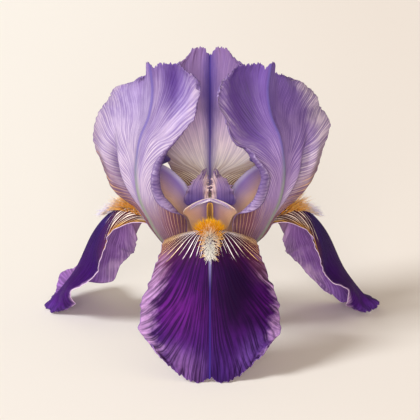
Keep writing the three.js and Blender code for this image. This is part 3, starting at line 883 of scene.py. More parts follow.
class Graph:
    """The nodes of one material, world or node group, made and linked in short calls."""

    def __init__(self, tree: bpy.types.NodeTree) -> None:
        """Keeps the tree that the nodes go into."""
        self.tree = tree

    def feed(self, socket: Socket, value: Input) -> None:
        """Links an output to a socket, or sets the socket's own value.

        Args:
            socket: the input socket.
            value: an output socket, a number or a colour.
        """
        if isinstance(value, Socket):
            self.tree.links.new(value, socket)
        else:
            socket.default_value = value

    def node(self, kind: str, feeds: Feeds | None = None, **settings: object) -> bpy.types.NodeOutputs:
        """A new node.

        Args:
            kind: its type.
            feeds: what its inputs are fed, by their names or places.
            **settings: its properties.

        Returns:
            Its outputs.
        """
        made = self.tree.nodes.new(kind)
        for name, value in settings.items():
            setattr(made, name, value)
        for place, value in (feeds or {}).items():
            self.feed(made.inputs[place], value)
        return made.outputs

    def math(self, operation: str, *values: Input) -> Socket:
        """One step of arithmetic on the values."""
        return self.node("ShaderNodeMath", dict(enumerate(values)), operation=operation)[0]

    def times(self, a: Input, b: Input) -> Socket:
        """The product of two values."""
        return self.math("MULTIPLY", a, b)

    def times_plus(self, value: Input, factor: Input, start: Input) -> Socket:
        """A value times a factor, on top of a start."""
        return self.math("MULTIPLY_ADD", value, factor, start)

    def minus(self, a: Input, b: Input) -> Socket:
        """The first value less the second."""
        return self.math("SUBTRACT", a, b)

    def over(self, a: Input, b: Input) -> Socket:
        """The first value divided by the second."""
        return self.math("DIVIDE", a, b)

    def size(self, value: Input) -> Socket:
        """A value without its sign."""
        return self.math("ABSOLUTE", value)

    def fade(self, value: Input, low: Input, high: Input) -> Socket:
        """Zero at low, one at high, and smooth between, where low may be above high."""
        feeds = {"Value": value, "From Min": low, "From Max": high}
        return self.node("ShaderNodeMapRange", feeds, interpolation_type="SMOOTHSTEP")["Result"]

    def mix(self, factor: Input, a: Input, b: Input) -> Socket:
        """A colour between a, at a factor of zero, and b, at one."""
        return self.node("ShaderNodeMix", {0: factor, 6: a, 7: b}, data_type="RGBA")[2]

    def ramp(self, value: Input, stops: Stops) -> Socket:
        """A colour read off a row of stops.

        Args:
            value: the place on the row.
            stops: pairs of place and colour.

        Returns:
            The colour.
        """
        made = self.tree.nodes.new("ShaderNodeValToRGB")
        elements = made.color_ramp.elements
        while len(elements) < len(stops):
            elements.new(1.0)
        for element, (place, shade) in zip(elements, stops):
            element.position = place
            element.color = colour(shade)
        self.feed(made.inputs["Fac"], value)
        return made.outputs["Color"]

    def split(self, vector: Socket) -> tuple[Socket, ...]:
        """The three parts of a vector."""
        return tuple(self.node("ShaderNodeSeparateXYZ", {0: vector}))

    def join(self, x: Input, y: Input, z: Input) -> Socket:
        """A vector from three parts."""
        return self.node("ShaderNodeCombineXYZ", {0: x, 1: y, 2: z})[0]

    def scaled(self, vector: Socket, factor: Input) -> Socket:
        """A vector times a number."""
        return self.node("ShaderNodeVectorMath", {0: vector, "Scale": factor}, operation="SCALE")[0]

    def noise(self, vector: Socket, detail: float = 2.0, roughness: float = 0.5) -> Socket:
        """Soft noise round one half, with features one unit wide and detail finer layers."""
        feeds = {"Vector": vector, "Scale": 1.0, "Detail": detail, "Roughness": roughness}
        return self.node("ShaderNodeTexNoise", feeds)["Fac"]

    def attribute(self, name: str, output: str = "Vector") -> Socket:
        """A vector, or with the output Fac a number, that the mesh stores under a name."""
        return self.node("ShaderNodeAttribute", attribute_name=name)[output]

    def place(self) -> Socket:
        """The place on the object, in metres."""
        return self.node("ShaderNodeTexCoord")["Object"]

    def group(self, tree: bpy.types.NodeTree, **values: Input) -> Socket:
        """The one output of a placed node group, whose inputs are fed the values."""
        return self.node("ShaderNodeGroup", values, node_tree=tree)[0]

    def bump(self, height: Socket, strength: float, distance: float) -> Socket:
        """A normal bent by a height, one unit of which stands distance millimetres up."""
        feeds = {"Strength": strength, "Distance": distance * MM, "Height": height}
        return self.node("ShaderNodeBump", feeds)[0]

    def blend(self, factor: Input, first: Socket, second: Socket, output: str) -> None:
        """Mixes two shaders, from first at a factor of zero, into the output node of a name."""
        mixed = self.node("ShaderNodeMixShader", {0: factor, 1: first, 2: second})[0]
        self.feed(self.tree.nodes[output].inputs["Surface"], mixed)

    def end(self, shade: Socket, roughness: Input, gloss: float = 0.5, normal: Socket | None = None,
            glow: float = 0.0) -> None:
        """Ends a material with its surface.

        Args:
            shade: its colour.
            roughness: its roughness.
            gloss: its specular level.
            normal: its normal, where a bump bends it.
            glow: the share of light that it lets through.
        """
        surface = self.tree.nodes["Principled BSDF"]
        self.feed(surface.inputs["Base Color"], shade)
        self.feed(surface.inputs["Roughness"], roughness)
        surface.inputs["Specular IOR Level"].default_value = gloss
        if normal is not None:
            self.feed(surface.inputs["Normal"], normal)
        if glow > 0:
            through = self.node("ShaderNodeBsdfTranslucent", {"Color": shade})[0]
            self.blend(glow, surface.outputs[0], through, "Material Output")


def new_material(name: str) -> tuple[Material, Graph]:
    """A new material with nodes.

    Args:
        name: its name.

    Returns:
        The material and its graph.
    """
    made = bpy.data.materials.new(name)
    made.use_nodes = True
    return made, Graph(made.node_tree)


class SharedGroups:
    """The effects that more than one material uses, each built once.

    Vein lines come in levels, which double their number once the veins have spread far enough: each level
    fades in between two spreads.
    """

    LINE_LEVELS = ((1.0, (-2.0, -1.0)), (2.0, (1.3, 2.0)), (4.0, (2.6, 4.0)), (8.0, (5.2, 8.0)))
    DRIFT_ACROSS, DRIFT_ALONG = 0.3, 0.02
    DRIFT_TURNS = 6.0
    LEAST_POWER = 0.4
    STRENGTH_ALONG = 0.09
    STRENGTH_SEED = 11.0
    STRENGTH_FADE = (0.25, 0.6)
    WEAKEST_LINE = 0.25

    def __init__(self) -> None:
        """Builds the groups."""
        self.streaks = self.build_streaks()
        self.lines = self.build_lines()
        self.tissue = self.build_tissue()

    @staticmethod
    def start(name: str, output: str, **inputs: Input) -> tuple[Graph, dict[str, Socket], Socket]:
        """A new group with float or vector inputs and one float output.

        Args:
            name: the group's name.
            output: the output's name.
            **inputs: each input's default, where a tuple makes it a vector.

        Returns:
            The graph, its input sockets by name and its output socket.
        """
        tree = bpy.data.node_groups.new(name, "ShaderNodeTree")
        for label, default in inputs.items():
            kind = "NodeSocketVector" if isinstance(default, tuple) else "NodeSocketFloat"
            socket = tree.interface.new_socket(name=label, in_out="INPUT", socket_type=kind)
            socket.default_value = default
        tree.interface.new_socket(name=output, in_out="OUTPUT", socket_type="NodeSocketFloat")
        source = tree.nodes.new("NodeGroupInput")
        sink = tree.nodes.new("NodeGroupOutput")
        reads = {socket.name: socket for socket in source.outputs if socket.name}
        return Graph(tree), reads, sink.inputs[output]

    def build_streaks(self) -> bpy.types.NodeTree:
        """Soft streaks that run along the veins.

        Returns:
            The group.
        """
        graph, reads, value = self.start(
            "streaks along the veins", "Value", Vein=(0.0, 0.0, 0.0), Width=1.5, Length=14.0, Seed=0.0
        )
        across, along, _ = graph.split(reads["Vein"])
        place = graph.join(
            graph.over(across, reads["Width"]), graph.over(along, reads["Length"]), reads["Seed"]
        )
        graph.feed(value, graph.noise(place, detail=4.0, roughness=0.65))
        return graph.tree

    def build_lines(self) -> bpy.types.NodeTree:
        """Vein lines a spacing apart, which wander, fork and vary in strength.

        Returns:
            The group.
        """
        graph, reads, lines = self.start(
            "vein lines", "Lines", Vein=(0.0, 0.0, 0.0), Spacing=1.2, Wander=0.5, Thin=2.0, Even=0.0,
            Seed=0.0,
        )
        across, along, spread = graph.split(reads["Vein"])
        drift = graph.noise(graph.join(
            graph.times(across, self.DRIFT_ACROSS), graph.times(along, self.DRIFT_ALONG), reads["Seed"]
        ))
        plain = graph.over(across, reads["Spacing"])
        turns = graph.times_plus(drift, graph.times(reads["Wander"], self.DRIFT_TURNS), plain)
        found = 0.0
        for doubled, (begin, full) in self.LINE_LEVELS:
            crest = graph.math("SINE", graph.times(turns, TURN * doubled))
            upper = graph.times_plus(crest, 0.5, 0.5)
            apart = graph.over(spread, doubled)
            power = graph.times(graph.times(apart, apart), reads["Thin"])
            line = graph.math("POWER", upper, graph.math("MAXIMUM", power, self.LEAST_POWER))
            line = graph.times(line, graph.fade(spread, begin, full))
            found = graph.math("MAXIMUM", found, line)
        strength = graph.noise(
            graph.join(
                plain, graph.times(along, self.STRENGTH_ALONG),
                graph.math("ADD", reads["Seed"], self.STRENGTH_SEED),
            ),
            detail=1.0,
        )
        share = graph.fade(strength, *self.STRENGTH_FADE)
        share = graph.times_plus(share, 1 - self.WEAKEST_LINE, self.WEAKEST_LINE)
        graph.feed(lines, graph.times(found, graph.math("MAXIMUM", share, reads["Even"])))
        return graph.tree

    def build_tissue(self) -> bpy.types.NodeTree:
        """The petal's fine glistening cells, as a height.

        Returns:
            The group.
        """
        graph, reads, height = self.start("petal tissue", "Height", Place=(0.0, 0.0, 0.0), Cell=0.35)
        place = graph.scaled(reads["Place"], graph.over(1 / MM, reads["Cell"]))
        graph.feed(height, graph.noise(place, roughness=0.6))
        return graph.tree


@dataclass(frozen=True)
class TintAndShade:
    """A patch of another colour streaked along the veins, which is a tint of the petal's own in some places
    and painted shade and painted light in others.
    """

    across: float
    along: float
    wide: float
    long: float
    shade: str
    strength: float


@dataclass(frozen=True)
class PetalFinish:
    """The look of one face of a petal.

    Places along and across the petal are shares of it, and widths at its margin and its midrib are in
    millimetres. Spacings are in the units of the vein coordinate, which is twenty at a claw's margin. The
    haft is the striped part near the claw, and the keel is the midrib's dark line beyond its pale part.
    """

    name: str
    body: Stops
    margin: str
    vein: str
    margin_width: float = 5.0
    margin_strength: float = 1.0
    margin_ragged: float = 2.4
    margin_lean: float = 0.0
    # Patches of the petal's own tints, and of painted shade and painted light.
    tints_and_shades: tuple[TintAndShade, ...] = ()
    edge: str = "d8c8e4"
    edge_width: float = 0.25
    vein_spacing: float = 0.8
    vein_strength: float = 0.6
    vein_wander: float = 0.35
    vein_thin: float = 1.6
    haft: str = "efe6ea"
    haft_side: str = "d9b487"
    stripe: str = "6b2f35"
    stripe_side: str = "6b2f35"
    stripe_spacing: float = 1.5
    stripe_gap: float = 0.5
    side_gap: float = 0.34
    haft_tan: float = 0.0
    haft_turn: tuple[float, float] = (0.3, 0.8)
    haft_end: float = 0.55
    haft_side_end: float = 0.66
    haft_fade: float = 0.14
    haft_strength: float = 1.0
    midrib: str = "8f9aa8"
    midrib_width: float = 1.2
    midrib_from: float = 0.0
    midrib_to: float = 0.8
    midrib_strength: float = 0.5
    keel: str = "6a5ad0"
    keel_width: float = 0.8
    keel_strength: float = 0.0
    bump: float = 0.3
    crinkle: float = 2.0
    crinkle_reach: float = 9.0
    # How strongly painted shade darkens the crinkles near the margin.
    pucker_shade: float = 0.0
    roughness: float = 0.5
    glow: float = 0.22
    gloss: float = 0.35
    streak_scale: float = 1.0
    seed: float = 0.0

    def material(self, groups: SharedGroups) -> Material:
        """The finish's material, which reads the petal's own coordinates."""
        return PetalPaint(self, groups).paint()


class Streak(Enum):
    """Streaks along a petal's veins: their width, their length and what they add to its seed."""

    SOFT = (0.9, 14.0, 0)
    FINE = (0.2, 8.0, 3)
    CRINKLE = (1.0, 1.2, 1)
    RAGGED = (0.7, 60.0, 9)
    FLECK = (0.3, 5.0, 5)


class PetalPaint:
    """One face's material in the making: its graph, the petal's coordinates and the colour so far.

    Where a fade has two numbers, it is zero at the first and one at the second.
    """

    TINT_AND_SHADE_RAGGED = 0.9
    TINT_AND_SHADE_FADE = (1.15, 0.1)
    MARGIN_FINE = 0.6
    BARE_TIP = (0.88, 0.97)
    BARE_TIP_SIDE = (0.95, 0.6)
    GRAIN_FADE = (0.35, 0.7)
    GRAIN_SHARE = 0.55
    PUCKER_FADE = (0.45, 0.65)
    PUCKER_REACH = (5.0, 2.0)
    STRIPE_WANDER, STRIPE_THIN, STRIPE_EVEN, STRIPE_SEED = 0.16, 0.7, 0.85, 7
    STRIPE_FLECKS = 0.6
    STRIPE_SOFT = 0.2
    HAFT_RAGGED = 0.2
    HAFT_CLOSED = (1.0, 0.8)
    TAN_FADE = 0.06
    SIDE_STRIPE = (0.5, 1.0)
    SIDE_LATER = 0.1
    STRIPE_EARLIER = 1.3
    KEEL_FLANK, KEEL_FLANK_SHARE = 3.0, 0.5
    KEEL_FADE = 0.1
    KEEL_CORE = 0.3
    MIDRIB_BEGINS, MIDRIB_ENDS = 0.05, 0.12
    EDGE_CORE = 0.4
    CELL = 0.35
    FINE_HEIGHT, LINE_HEIGHT, CELL_HEIGHT = 0.6, -0.8, 0.35
    BUMP_DISTANCE = 0.25
    ROUGHNESS_RANGE = 0.2

    def __init__(self, finish: PetalFinish, groups: SharedGroups) -> None:
        """Starts the material with the body's colour along the petal.

        Args:
            finish: the face's look.
            groups: the shared effects.
        """
        self.finish = finish
        self.groups = groups
        self.made, self.graph = new_material(finish.name)
        graph = self.graph
        self.vein = graph.attribute("vein")
        self.u, self.v, self.rim = graph.split(graph.attribute("petal"))
        self.away = graph.size(graph.attribute("away", "Fac"))
        self.x = graph.size(self.u)
        self.fine = self.streaks(Streak.FINE, finish.streak_scale)
        self.crinkle = self.streaks(Streak.CRINKLE)
        self.streaky = graph.minus(self.streaks(Streak.SOFT, finish.streak_scale), 0.5)
        self.lines = graph.group(
            groups.lines, Vein=self.vein, Spacing=finish.vein_spacing, Wander=finish.vein_wander,
            Thin=finish.vein_thin, Seed=finish.seed,
        )
        self.shade = graph.ramp(self.v, finish.body)

    def paint(self) -> Material:
        """Lays every layer over the body and ends the material.

        Returns:
            The material.
        """
        self.add_tints_and_shades()
        self.add_margin()
        self.add_veins()
        if self.finish.haft_strength:
            self.add_haft()
        self.add_keel()
        self.add_midrib()
        finish, graph = self.finish, self.graph
        self.lay(graph.fade(self.rim, finish.edge_width, finish.edge_width * self.EDGE_CORE), finish.edge)
        roughness = graph.times_plus(
            self.fine, self.ROUGHNESS_RANGE, finish.roughness - self.ROUGHNESS_RANGE / 2
        )
        graph.end(self.shade, roughness, finish.gloss, self.build_normal(), finish.glow)
        return self.made

    def streaks(self, kind: Streak, scale: float = 1.0) -> Socket:
        """Streaks of a kind, as values round one half.

        Args:
            kind: which streaks.
            scale: widens them.

        Returns:
            The values.
        """
        width, length, seed = kind.value
        return self.graph.group(
            self.groups.streaks, Vein=self.vein, Width=width * scale, Length=length,
            Seed=self.finish.seed + seed,
        )

    def lay(self, share: Input, shade: str) -> None:
        """Lays another colour over the colour so far."""
        self.shade = self.graph.mix(share, self.shade, colour(shade))

    def add_tints_and_shades(self) -> None:
        """Lays the patches of tint, painted shade and painted light over the colour so far, with edges that
        are streaked along the veins.
        """
        graph = self.graph
        for patch in self.finish.tints_and_shades:
            side = graph.over(graph.minus(self.u, patch.across), patch.wide)
            end = graph.over(graph.minus(self.v, patch.along), patch.long)
            square = graph.math("ADD", graph.times(side, side), graph.times(end, end))
            away = graph.times_plus(self.streaky, self.TINT_AND_SHADE_RAGGED, graph.math("SQRT", square))
            self.lay(graph.times(graph.fade(away, *self.TINT_AND_SHADE_FADE), patch.strength), patch.shade)

    def add_margin(self) -> None:
        """Lays the margin's colour along both sides, ragged along the veins, and leaves the tip bare."""
        finish, graph = self.finish, self.graph
        ragged = finish.margin_width * finish.margin_ragged
        reach = graph.times_plus(self.streaky, ragged, self.rim)
        reach = graph.times_plus(graph.minus(self.fine, 0.5), ragged * self.MARGIN_FINE, reach)
        reach = graph.times_plus(self.u, finish.margin_lean, reach)
        share = graph.times(graph.fade(reach, finish.margin_width, 0.0), finish.margin_strength)
        at_tip = graph.times(graph.fade(self.v, *self.BARE_TIP), graph.fade(self.x, *self.BARE_TIP_SIDE))
        self.lay(graph.times(share, graph.minus(1.0, at_tip)), finish.margin)

    def add_veins(self) -> None:
        """Lays the vein lines, the grain between them and painted shade in the margin's puckers over the
        colour so far.
        """
        finish, graph = self.finish, self.graph
        self.lay(graph.times(self.lines, finish.vein_strength), finish.vein)
        grain = graph.fade(self.fine, *self.GRAIN_FADE)
        self.lay(graph.times(grain, finish.vein_strength * self.GRAIN_SHARE), finish.vein)
        # Painted shade: the vein colour laid on the margin's crinkles.
        if finish.pucker_shade:
            found = graph.fade(self.crinkle, *self.PUCKER_FADE)
            pucker_shade = graph.times(found, graph.fade(self.rim, *self.PUCKER_REACH))
            self.lay(graph.times(pucker_shade, finish.pucker_shade), finish.vein)

    def add_haft(self) -> None:
        """Lays the haft over the colour near the claw: pale ground between dark stripes.

        The ground closes in on the stripes towards the haft's end, where they run into the body's colour.
        """
        finish, graph, x, v = self.finish, self.graph, self.x, self.v
        stripes = graph.group(
            self.groups.lines, Vein=self.vein, Spacing=finish.stripe_spacing, Wander=self.STRIPE_WANDER,
            Thin=self.STRIPE_THIN, Even=self.STRIPE_EVEN, Seed=finish.seed + self.STRIPE_SEED,
        )
        flecks = graph.minus(self.streaks(Streak.FLECK), 0.5)
        stripes = graph.times_plus(flecks, self.STRIPE_FLECKS, stripes)
        end = graph.times_plus(x, finish.haft_side_end - finish.haft_end, finish.haft_end)
        ragged = graph.minus(self.streaks(Streak.RAGGED), 0.5)
        end = graph.times_plus(ragged, self.HAFT_RAGGED, end)
        past = graph.fade(v, graph.minus(end, finish.haft_fade), end)
        gap = graph.times_plus(x, finish.side_gap - finish.stripe_gap, finish.stripe_gap)
        open_to = graph.times(gap, graph.minus(1.0, past))
        pale = graph.fade(stripes, open_to, graph.minus(open_to, self.STRIPE_SOFT))
        pale = graph.times(pale, graph.fade(past, *self.HAFT_CLOSED))
        tanned = graph.fade(v, finish.haft_tan, finish.haft_tan - self.TAN_FADE)
        to_side = graph.math("MAXIMUM", graph.fade(x, *finish.haft_turn), tanned)
        ground = graph.mix(to_side, colour(finish.haft), colour(finish.haft_side))
        to_side = graph.fade(x, *self.SIDE_STRIPE)
        band = graph.mix(to_side, colour(finish.stripe), colour(finish.stripe_side))
        begins = graph.minus(end, finish.haft_fade * self.STRIPE_EARLIER)
        into_body = graph.fade(v, begins, graph.times_plus(x, self.SIDE_LATER, end))
        under = graph.mix(into_body, band, self.shade)
        self.shade = graph.mix(finish.haft_strength, self.shade, graph.mix(pale, under, ground))

    def add_keel(self) -> None:
        """Lays a dark line with softer flanks over the midrib, past the midrib's own colour."""
        finish, graph = self.finish, self.graph
        if not finish.keel_strength:
            return
        begins = graph.fade(self.v, finish.midrib_to - self.KEEL_FADE, finish.midrib_to)
        beyond = graph.times(begins, finish.keel_strength)
        flank = graph.fade(self.away, finish.keel_width * self.KEEL_FLANK, 0.0)
        self.lay(graph.times(graph.times(flank, self.KEEL_FLANK_SHARE), beyond), finish.vein)
        line = graph.fade(self.away, finish.keel_width, finish.keel_width * self.KEEL_CORE)
        self.lay(graph.times(line, beyond), finish.keel)

    def add_midrib(self) -> None:
        """Lays the midrib's colour over the middle of the petal; on the style arms' upper face it is a
        painted highlight along the lit ridge.
        """
        finish, graph = self.finish, self.graph
        near = graph.fade(self.away, finish.midrib_width, 0.0)
        begins, ends = self.MIDRIB_BEGINS, self.MIDRIB_ENDS
        grown = graph.fade(self.v, finish.midrib_from - begins, finish.midrib_from + begins)
        kept = graph.fade(self.v, finish.midrib_to + ends, finish.midrib_to - ends)
        share = graph.times(graph.times(near, grown), kept)
        self.lay(graph.times(share, finish.midrib_strength), finish.midrib)

    def build_normal(self) -> Socket:
        """Bends the normal with the veins, the tissue's cells and the margin's crinkles.

        Returns:
            The normal.
        """
        finish, graph = self.finish, self.graph
        cells = graph.group(self.groups.tissue, Place=graph.place(), Cell=self.CELL)
        height = graph.times_plus(self.fine, self.FINE_HEIGHT, graph.times(self.lines, self.LINE_HEIGHT))
        height = graph.times_plus(cells, self.CELL_HEIGHT, height)
        near = graph.fade(self.rim, finish.crinkle_reach, 0.0)
        height = graph.times_plus(graph.times(self.crinkle, near), finish.crinkle, height)
        return graph.bump(height, finish.bump, self.BUMP_DISTANCE)


# The front fall's upper face: the near-black patch over its right half is painted shade, and the lighter
# magenta patch and the wider pale margin (the margin's lean) on its left half are painted light from the
# window on that side.
FALL_UPPER = PetalFinish(
    name="fall_velvet", margin="c498cc", vein="1a042c", margin_width=7.0, margin_ragged=1.9,
    margin_lean=2.0, margin_strength=0.9, vein_spacing=0.95, vein_strength=0.85, edge="7a5aa0",
    haft="fbf4f8", haft_side="f0c890", stripe="380c22", stripe_side="5e2430", stripe_spacing=0.64,
    haft_end=0.595, haft_side_end=0.61, haft_tan=0.46, midrib="ccc8fa", midrib_width=0.8, midrib_from=0.5,
    midrib_to=0.57, midrib_strength=0.85, keel="3c3090", keel_width=0.38, keel_strength=0.5,
    roughness=0.62, gloss=0.06, glow=0.1, side_gap=0.32,
    body=((0.0, "6d3a6a"), (0.5, "4a1a50"), (0.62, "420a5c"), (0.75, "4c0e66"), (0.88, "46186c"),
          (1.0, "502a74")),
    # The first patch is painted shade on the right half, and the second is painted light, a lighter magenta
    # on the lit left half.
    tints_and_shades=(TintAndShade(across=0.36, along=0.68, wide=0.55, long=0.24, shade="14021e", strength=0.9),
             TintAndShade(across=-0.45, along=0.76, wide=0.4, long=0.16, shade="7a2690", strength=0.35),
             TintAndShade(across=-0.9, along=0.6, wide=0.3, long=0.1, shade="8a5274", strength=0.7),
             TintAndShade(across=0.9, along=0.6, wide=0.3, long=0.1, shade="6e4460", strength=0.7),
             TintAndShade(across=0.1, along=1.0, wide=0.4, long=0.14, shade="30145c", strength=0.7),
             TintAndShade(across=-0.42, along=0.95, wide=0.4, long=0.1, shade="a070b4", strength=0.5),
             TintAndShade(across=0.6, along=0.93, wide=0.3, long=0.12, shade="7450a4", strength=0.45)),
)
FALL_UNDER = replace(
    FALL_UPPER, name="fall_underside", gloss=0.3, margin="dcb8ea", vein="6a3a96", vein_strength=0.55,
    margin_lean=0.0, haft="cdb27c", haft_tan=0.0, vein_spacing=0.3, streak_scale=0.3, margin_strength=1.0,
    haft_side="d6a742", stripe="a06a2c", haft_end=0.38, haft_side_end=0.46, haft_strength=0.8,
    midrib="9c8f7c", midrib_from=0.0, midrib_strength=0.5, keel_strength=0.0, glow=0.4, seed=4.0,
    body=((0.0, "b9a26a"), (0.4, "d2a8d8"), (0.55, "c490e0"), (0.8, "b480dc"), (1.0, "a070d0")),
    tints_and_shades=(),
)
SIDE_FALL_UPPER = replace(
    FALL_UPPER, name="side_fall_velvet", vein_spacing=0.3, streak_scale=0.3, margin_strength=1.0,
    vein_strength=0.55, haft="fdf2e6", haft_side="f2bc48", haft_turn=(0.5, 0.9), haft_tan=0.28,
    stripe="4a1826", stripe_side="6e3220", stripe_spacing=1.0, side_gap=0.44, edge="d4bcd8",
    edge_width=0.4, margin="b48cc4", margin_width=2.0, margin_lean=0.0, haft_end=0.55, haft_side_end=0.6,
    seed=2.0,
    body=((0.0, "8a5a4a"), (0.46, "362684"), (0.6, "300a5c"), (0.8, "400c64"), (0.93, "4c1e76"),
          (1.0, "603a92")),
    tints_and_shades=(),
)
# The left fall's upper face, with a pale lilac patch on the curled lobe at its tip: painted light where the
# sun falls on the lobe.
LEFT_FALL_UPPER = replace(
    SIDE_FALL_UPPER, name="left_fall_velvet",
    tints_and_shades=(TintAndShade(across=-0.8, along=0.98, wide=0.7, long=0.14, shade="ba86d2", strength=1.0),),
)
STANDARD_OUTER = PetalFinish(
    name="standard_silk_outer", margin="d2c0d0", vein="68469a", margin_width=10.0, margin_strength=0.85,
    vein_spacing=0.55, vein_strength=0.65, edge="8a6fa6", haft="ccaab4", haft_side="cc9c68",
    stripe="7a3f50", stripe_side="5e2c38", stripe_spacing=0.9, haft_end=0.28, haft_side_end=0.68,
    haft_strength=0.85, bump=0.45, crinkle=2.6, midrib="9aa890", midrib_width=1.3, midrib_to=0.58,
    midrib_strength=0.85, keel="6e60b4", keel_width=0.6, keel_strength=0.65, glow=0.3, seed=1.0,
    body=((0.0, "8f8a58"), (0.25, "9a7a5c"), (0.37, "ae8e86"), (0.48, "d2c0d4"), (0.65, "d8c8da"),
          (0.85, "cab8e0"), (1.0, "a084c4")),
)
CLAW_BROWN = (
    TintAndShade(across=-0.8, along=0.42, wide=0.45, long=0.12, shade="8a5434", strength=0.75),
    TintAndShade(across=0.8, along=0.32, wide=0.45, long=0.09, shade="8a5040", strength=0.8),
)
# The left standard's outer face. Its first four patches are painted shade: the dark valley of the inner
# half's fold near the tip, the darker violet along both sides of the midrib ridge, and the crease of the
# pocket.
LEFT_OUTER = replace(
    STANDARD_OUTER, name="standard_silk_left",
    tints_and_shades=(TintAndShade(across=0.34, along=0.92, wide=0.24, long=0.16, shade="60409a", strength=1.0),
             TintAndShade(across=0.14, along=0.7, wide=0.12, long=0.2, shade="7c60b8", strength=0.5),
             TintAndShade(across=-0.12, along=0.5, wide=0.16, long=0.12, shade="9478c0", strength=0.6),
             TintAndShade(across=-0.6, along=0.57, wide=0.11, long=0.12, shade="52346e", strength=0.9),
             TintAndShade(across=-0.85, along=0.52, wide=0.18, long=0.08, shade="6e4a60", strength=0.7),
             *CLAW_BROWN),
)
# The right standard's outer face. Its deeper violet body is partly its own colour and partly painted shade
# for its side turned from the window light, and the patches at -0.4 and 0.6 across are painted shade in the
# fold's valley and in the pocket's crease.
SHADED_RIGHT_OUTER = replace(
    STANDARD_OUTER, name="standard_silk_right", margin="f8e8f0", margin_width=10.5, margin_ragged=1.2,
    margin_lean=-3.0, vein_strength=0.78,
    body=((0.0, "8f8a58"), (0.25, "9a7a5c"), (0.37, "ae8e8c"), (0.48, "bc9ecc"), (0.65, "b498ce"),
          (0.85, "9474c2"), (1.0, "8060b4")),
    tints_and_shades=(TintAndShade(across=-0.4, along=0.84, wide=0.4, long=0.26, shade="46296e", strength=0.9),
             TintAndShade(across=0.04, along=0.86, wide=0.14, long=0.14, shade="7458b0", strength=0.6),
             TintAndShade(across=0.6, along=0.57, wide=0.11, long=0.12, shade="4a2e66", strength=0.9),
             TintAndShade(across=0.85, along=0.52, wide=0.18, long=0.08, shade="644258", strength=0.7),
             *(replace(patch, across=-patch.across) for patch in CLAW_BROWN)),
)
STANDARD_INNER = replace(
    STANDARD_OUTER, name="standard_silk_inner", margin="f6e8f0", margin_width=8.0, vein="5c3c90",
    midrib="8470d0", midrib_width=3.2, midrib_from=0.4, midrib_to=0.46, midrib_strength=0.7,
    keel="4c3ca0", keel_width=0.55, keel_strength=0.8, haft="fff6dc", haft_side="fff0c8", stripe="8a5a30",
    stripe_side="8a5a30", stripe_spacing=1.0, stripe_gap=0.6, side_gap=0.6, haft_end=0.5,
    haft_side_end=0.52, haft_fade=0.08, glow=0.35, vein_spacing=0.8, vein_strength=0.28, bump=0.3,
    seed=6.0,
    body=((0.0, "e0c494"), (0.3, "fff4e4"), (0.5, "fffaee"), (0.58, "fff0f4"), (0.68, "e6ccec"),
          (0.8, "bc9cd0"), (1.0, "9876ae")),
    tints_and_shades=(TintAndShade(across=0.0, along=0.8, wide=0.16, long=0.5, shade="6854b0", strength=0.85),),
)
# The inner face of the side standards; its puckers setting lays painted shade on the margin's crinkles.
STANDARD_FOLD = replace(
    STANDARD_INNER, name="standard_silk_fold", haft="d0aca0", haft_side="c08e60", haft_strength=0.9,
    stripe="6e3c44", stripe_side="6e3034", stripe_gap=0.5, side_gap=0.5, haft_end=0.31,
    haft_side_end=0.37, vein="4e3078", vein_strength=0.4, pucker_shade=0.6, crinkle=4.0, margin="c4b2d8",
    margin_width=0.7, keel_strength=0.3,
    tints_and_shades=(),
    body=((0.0, "b89870"), (0.3, "b090a4"), (0.38, "c8b4e0"), (0.45, "b8a0d0"), (0.52, "8c74a8"),
          (0.66, "8068a0"), (0.8, "a088c4"), (1.0, "a88cd0")),
)
# The style arms' upper face: the pale lavender midrib is a painted highlight along the lit ridge, and the
# blue-violet band of the body beside it is partly the arm's own colour and partly painted shade under the
# ridge.
ARM_UPPER = replace(
    STANDARD_OUTER, name="style_arm_upper", margin="ffdeaa", margin_width=12.0, margin_strength=1.0,
    margin_ragged=0.15, haft_strength=0.0, bump=0.3, crinkle=2.0, vein_strength=0.06, midrib="ece4ff",
    midrib_width=2.2, midrib_to=1.2, midrib_strength=1.0, edge="f4e0d0", glow=0.45, roughness=0.42,
    keel_strength=0.0, seed=8.0,
    body=((0.0, "f8cc90"), (0.4, "947ce0"), (0.7, "8a72e0"), (1.0, "9480e4")),
)
ARM_UNDER = replace(
    ARM_UPPER, name="style_arm_under", margin="ffdcb0", margin_width=5.0, margin_strength=0.8,
    midrib="9a78d0", midrib_width=4.4, midrib_from=0.35, midrib_to=1.1, midrib_strength=0.9,
    vein_strength=0.05, glow=0.5, seed=9.0,
    body=((0.0, "f8cc98"), (0.35, "ffd8b4"), (0.6, "ffdcc4"), (0.85, "f8d8dc"), (1.0, "ecd8f4")),
)
CREST_FACE = replace(
    ARM_UPPER, name="style_crest", margin="f0d4cc", margin_width=2.0, margin_ragged=0.6, vein="4c3480",
    vein_spacing=3.2, vein_thin=50.0, vein_strength=0.6, midrib_strength=0.0, edge="8a6ca0",
    edge_width=0.15, seed=10.0,
    body=((0.0, "6c58a4"), (0.3, "8870b0"), (0.6, "a486b4"), (0.85, "bc9cb4"), (1.0, "e4ccc0")),
)
LIP_FACE = replace(
    ARM_UPPER, name="style_lip", margin="efe6ee", margin_width=0.8, vein_strength=0.1,
    midrib_strength=0.0, edge="f2eaf0", seed=11.0,
    body=((0.0, "cdb8d8"), (1.0, "e6d8e6")),
)
STAMEN_FACE = replace(
    ARM_UPPER, name="stamen_amber", margin="c8a068", margin_width=0.5, vein_spacing=0.5,
    vein_strength=0.25, vein="6a4028", midrib="7a5030", midrib_width=0.4, midrib_from=0.62, midrib_to=1.0,
    midrib_strength=0.7, edge="c89a4c", roughness=0.7, glow=0.1, seed=12.0,
    body=((0.0, "d8cdb4"), (0.55, "d6c6a4"), (0.66, "966a40"), (1.0, "9c7448")),
)


# Petals


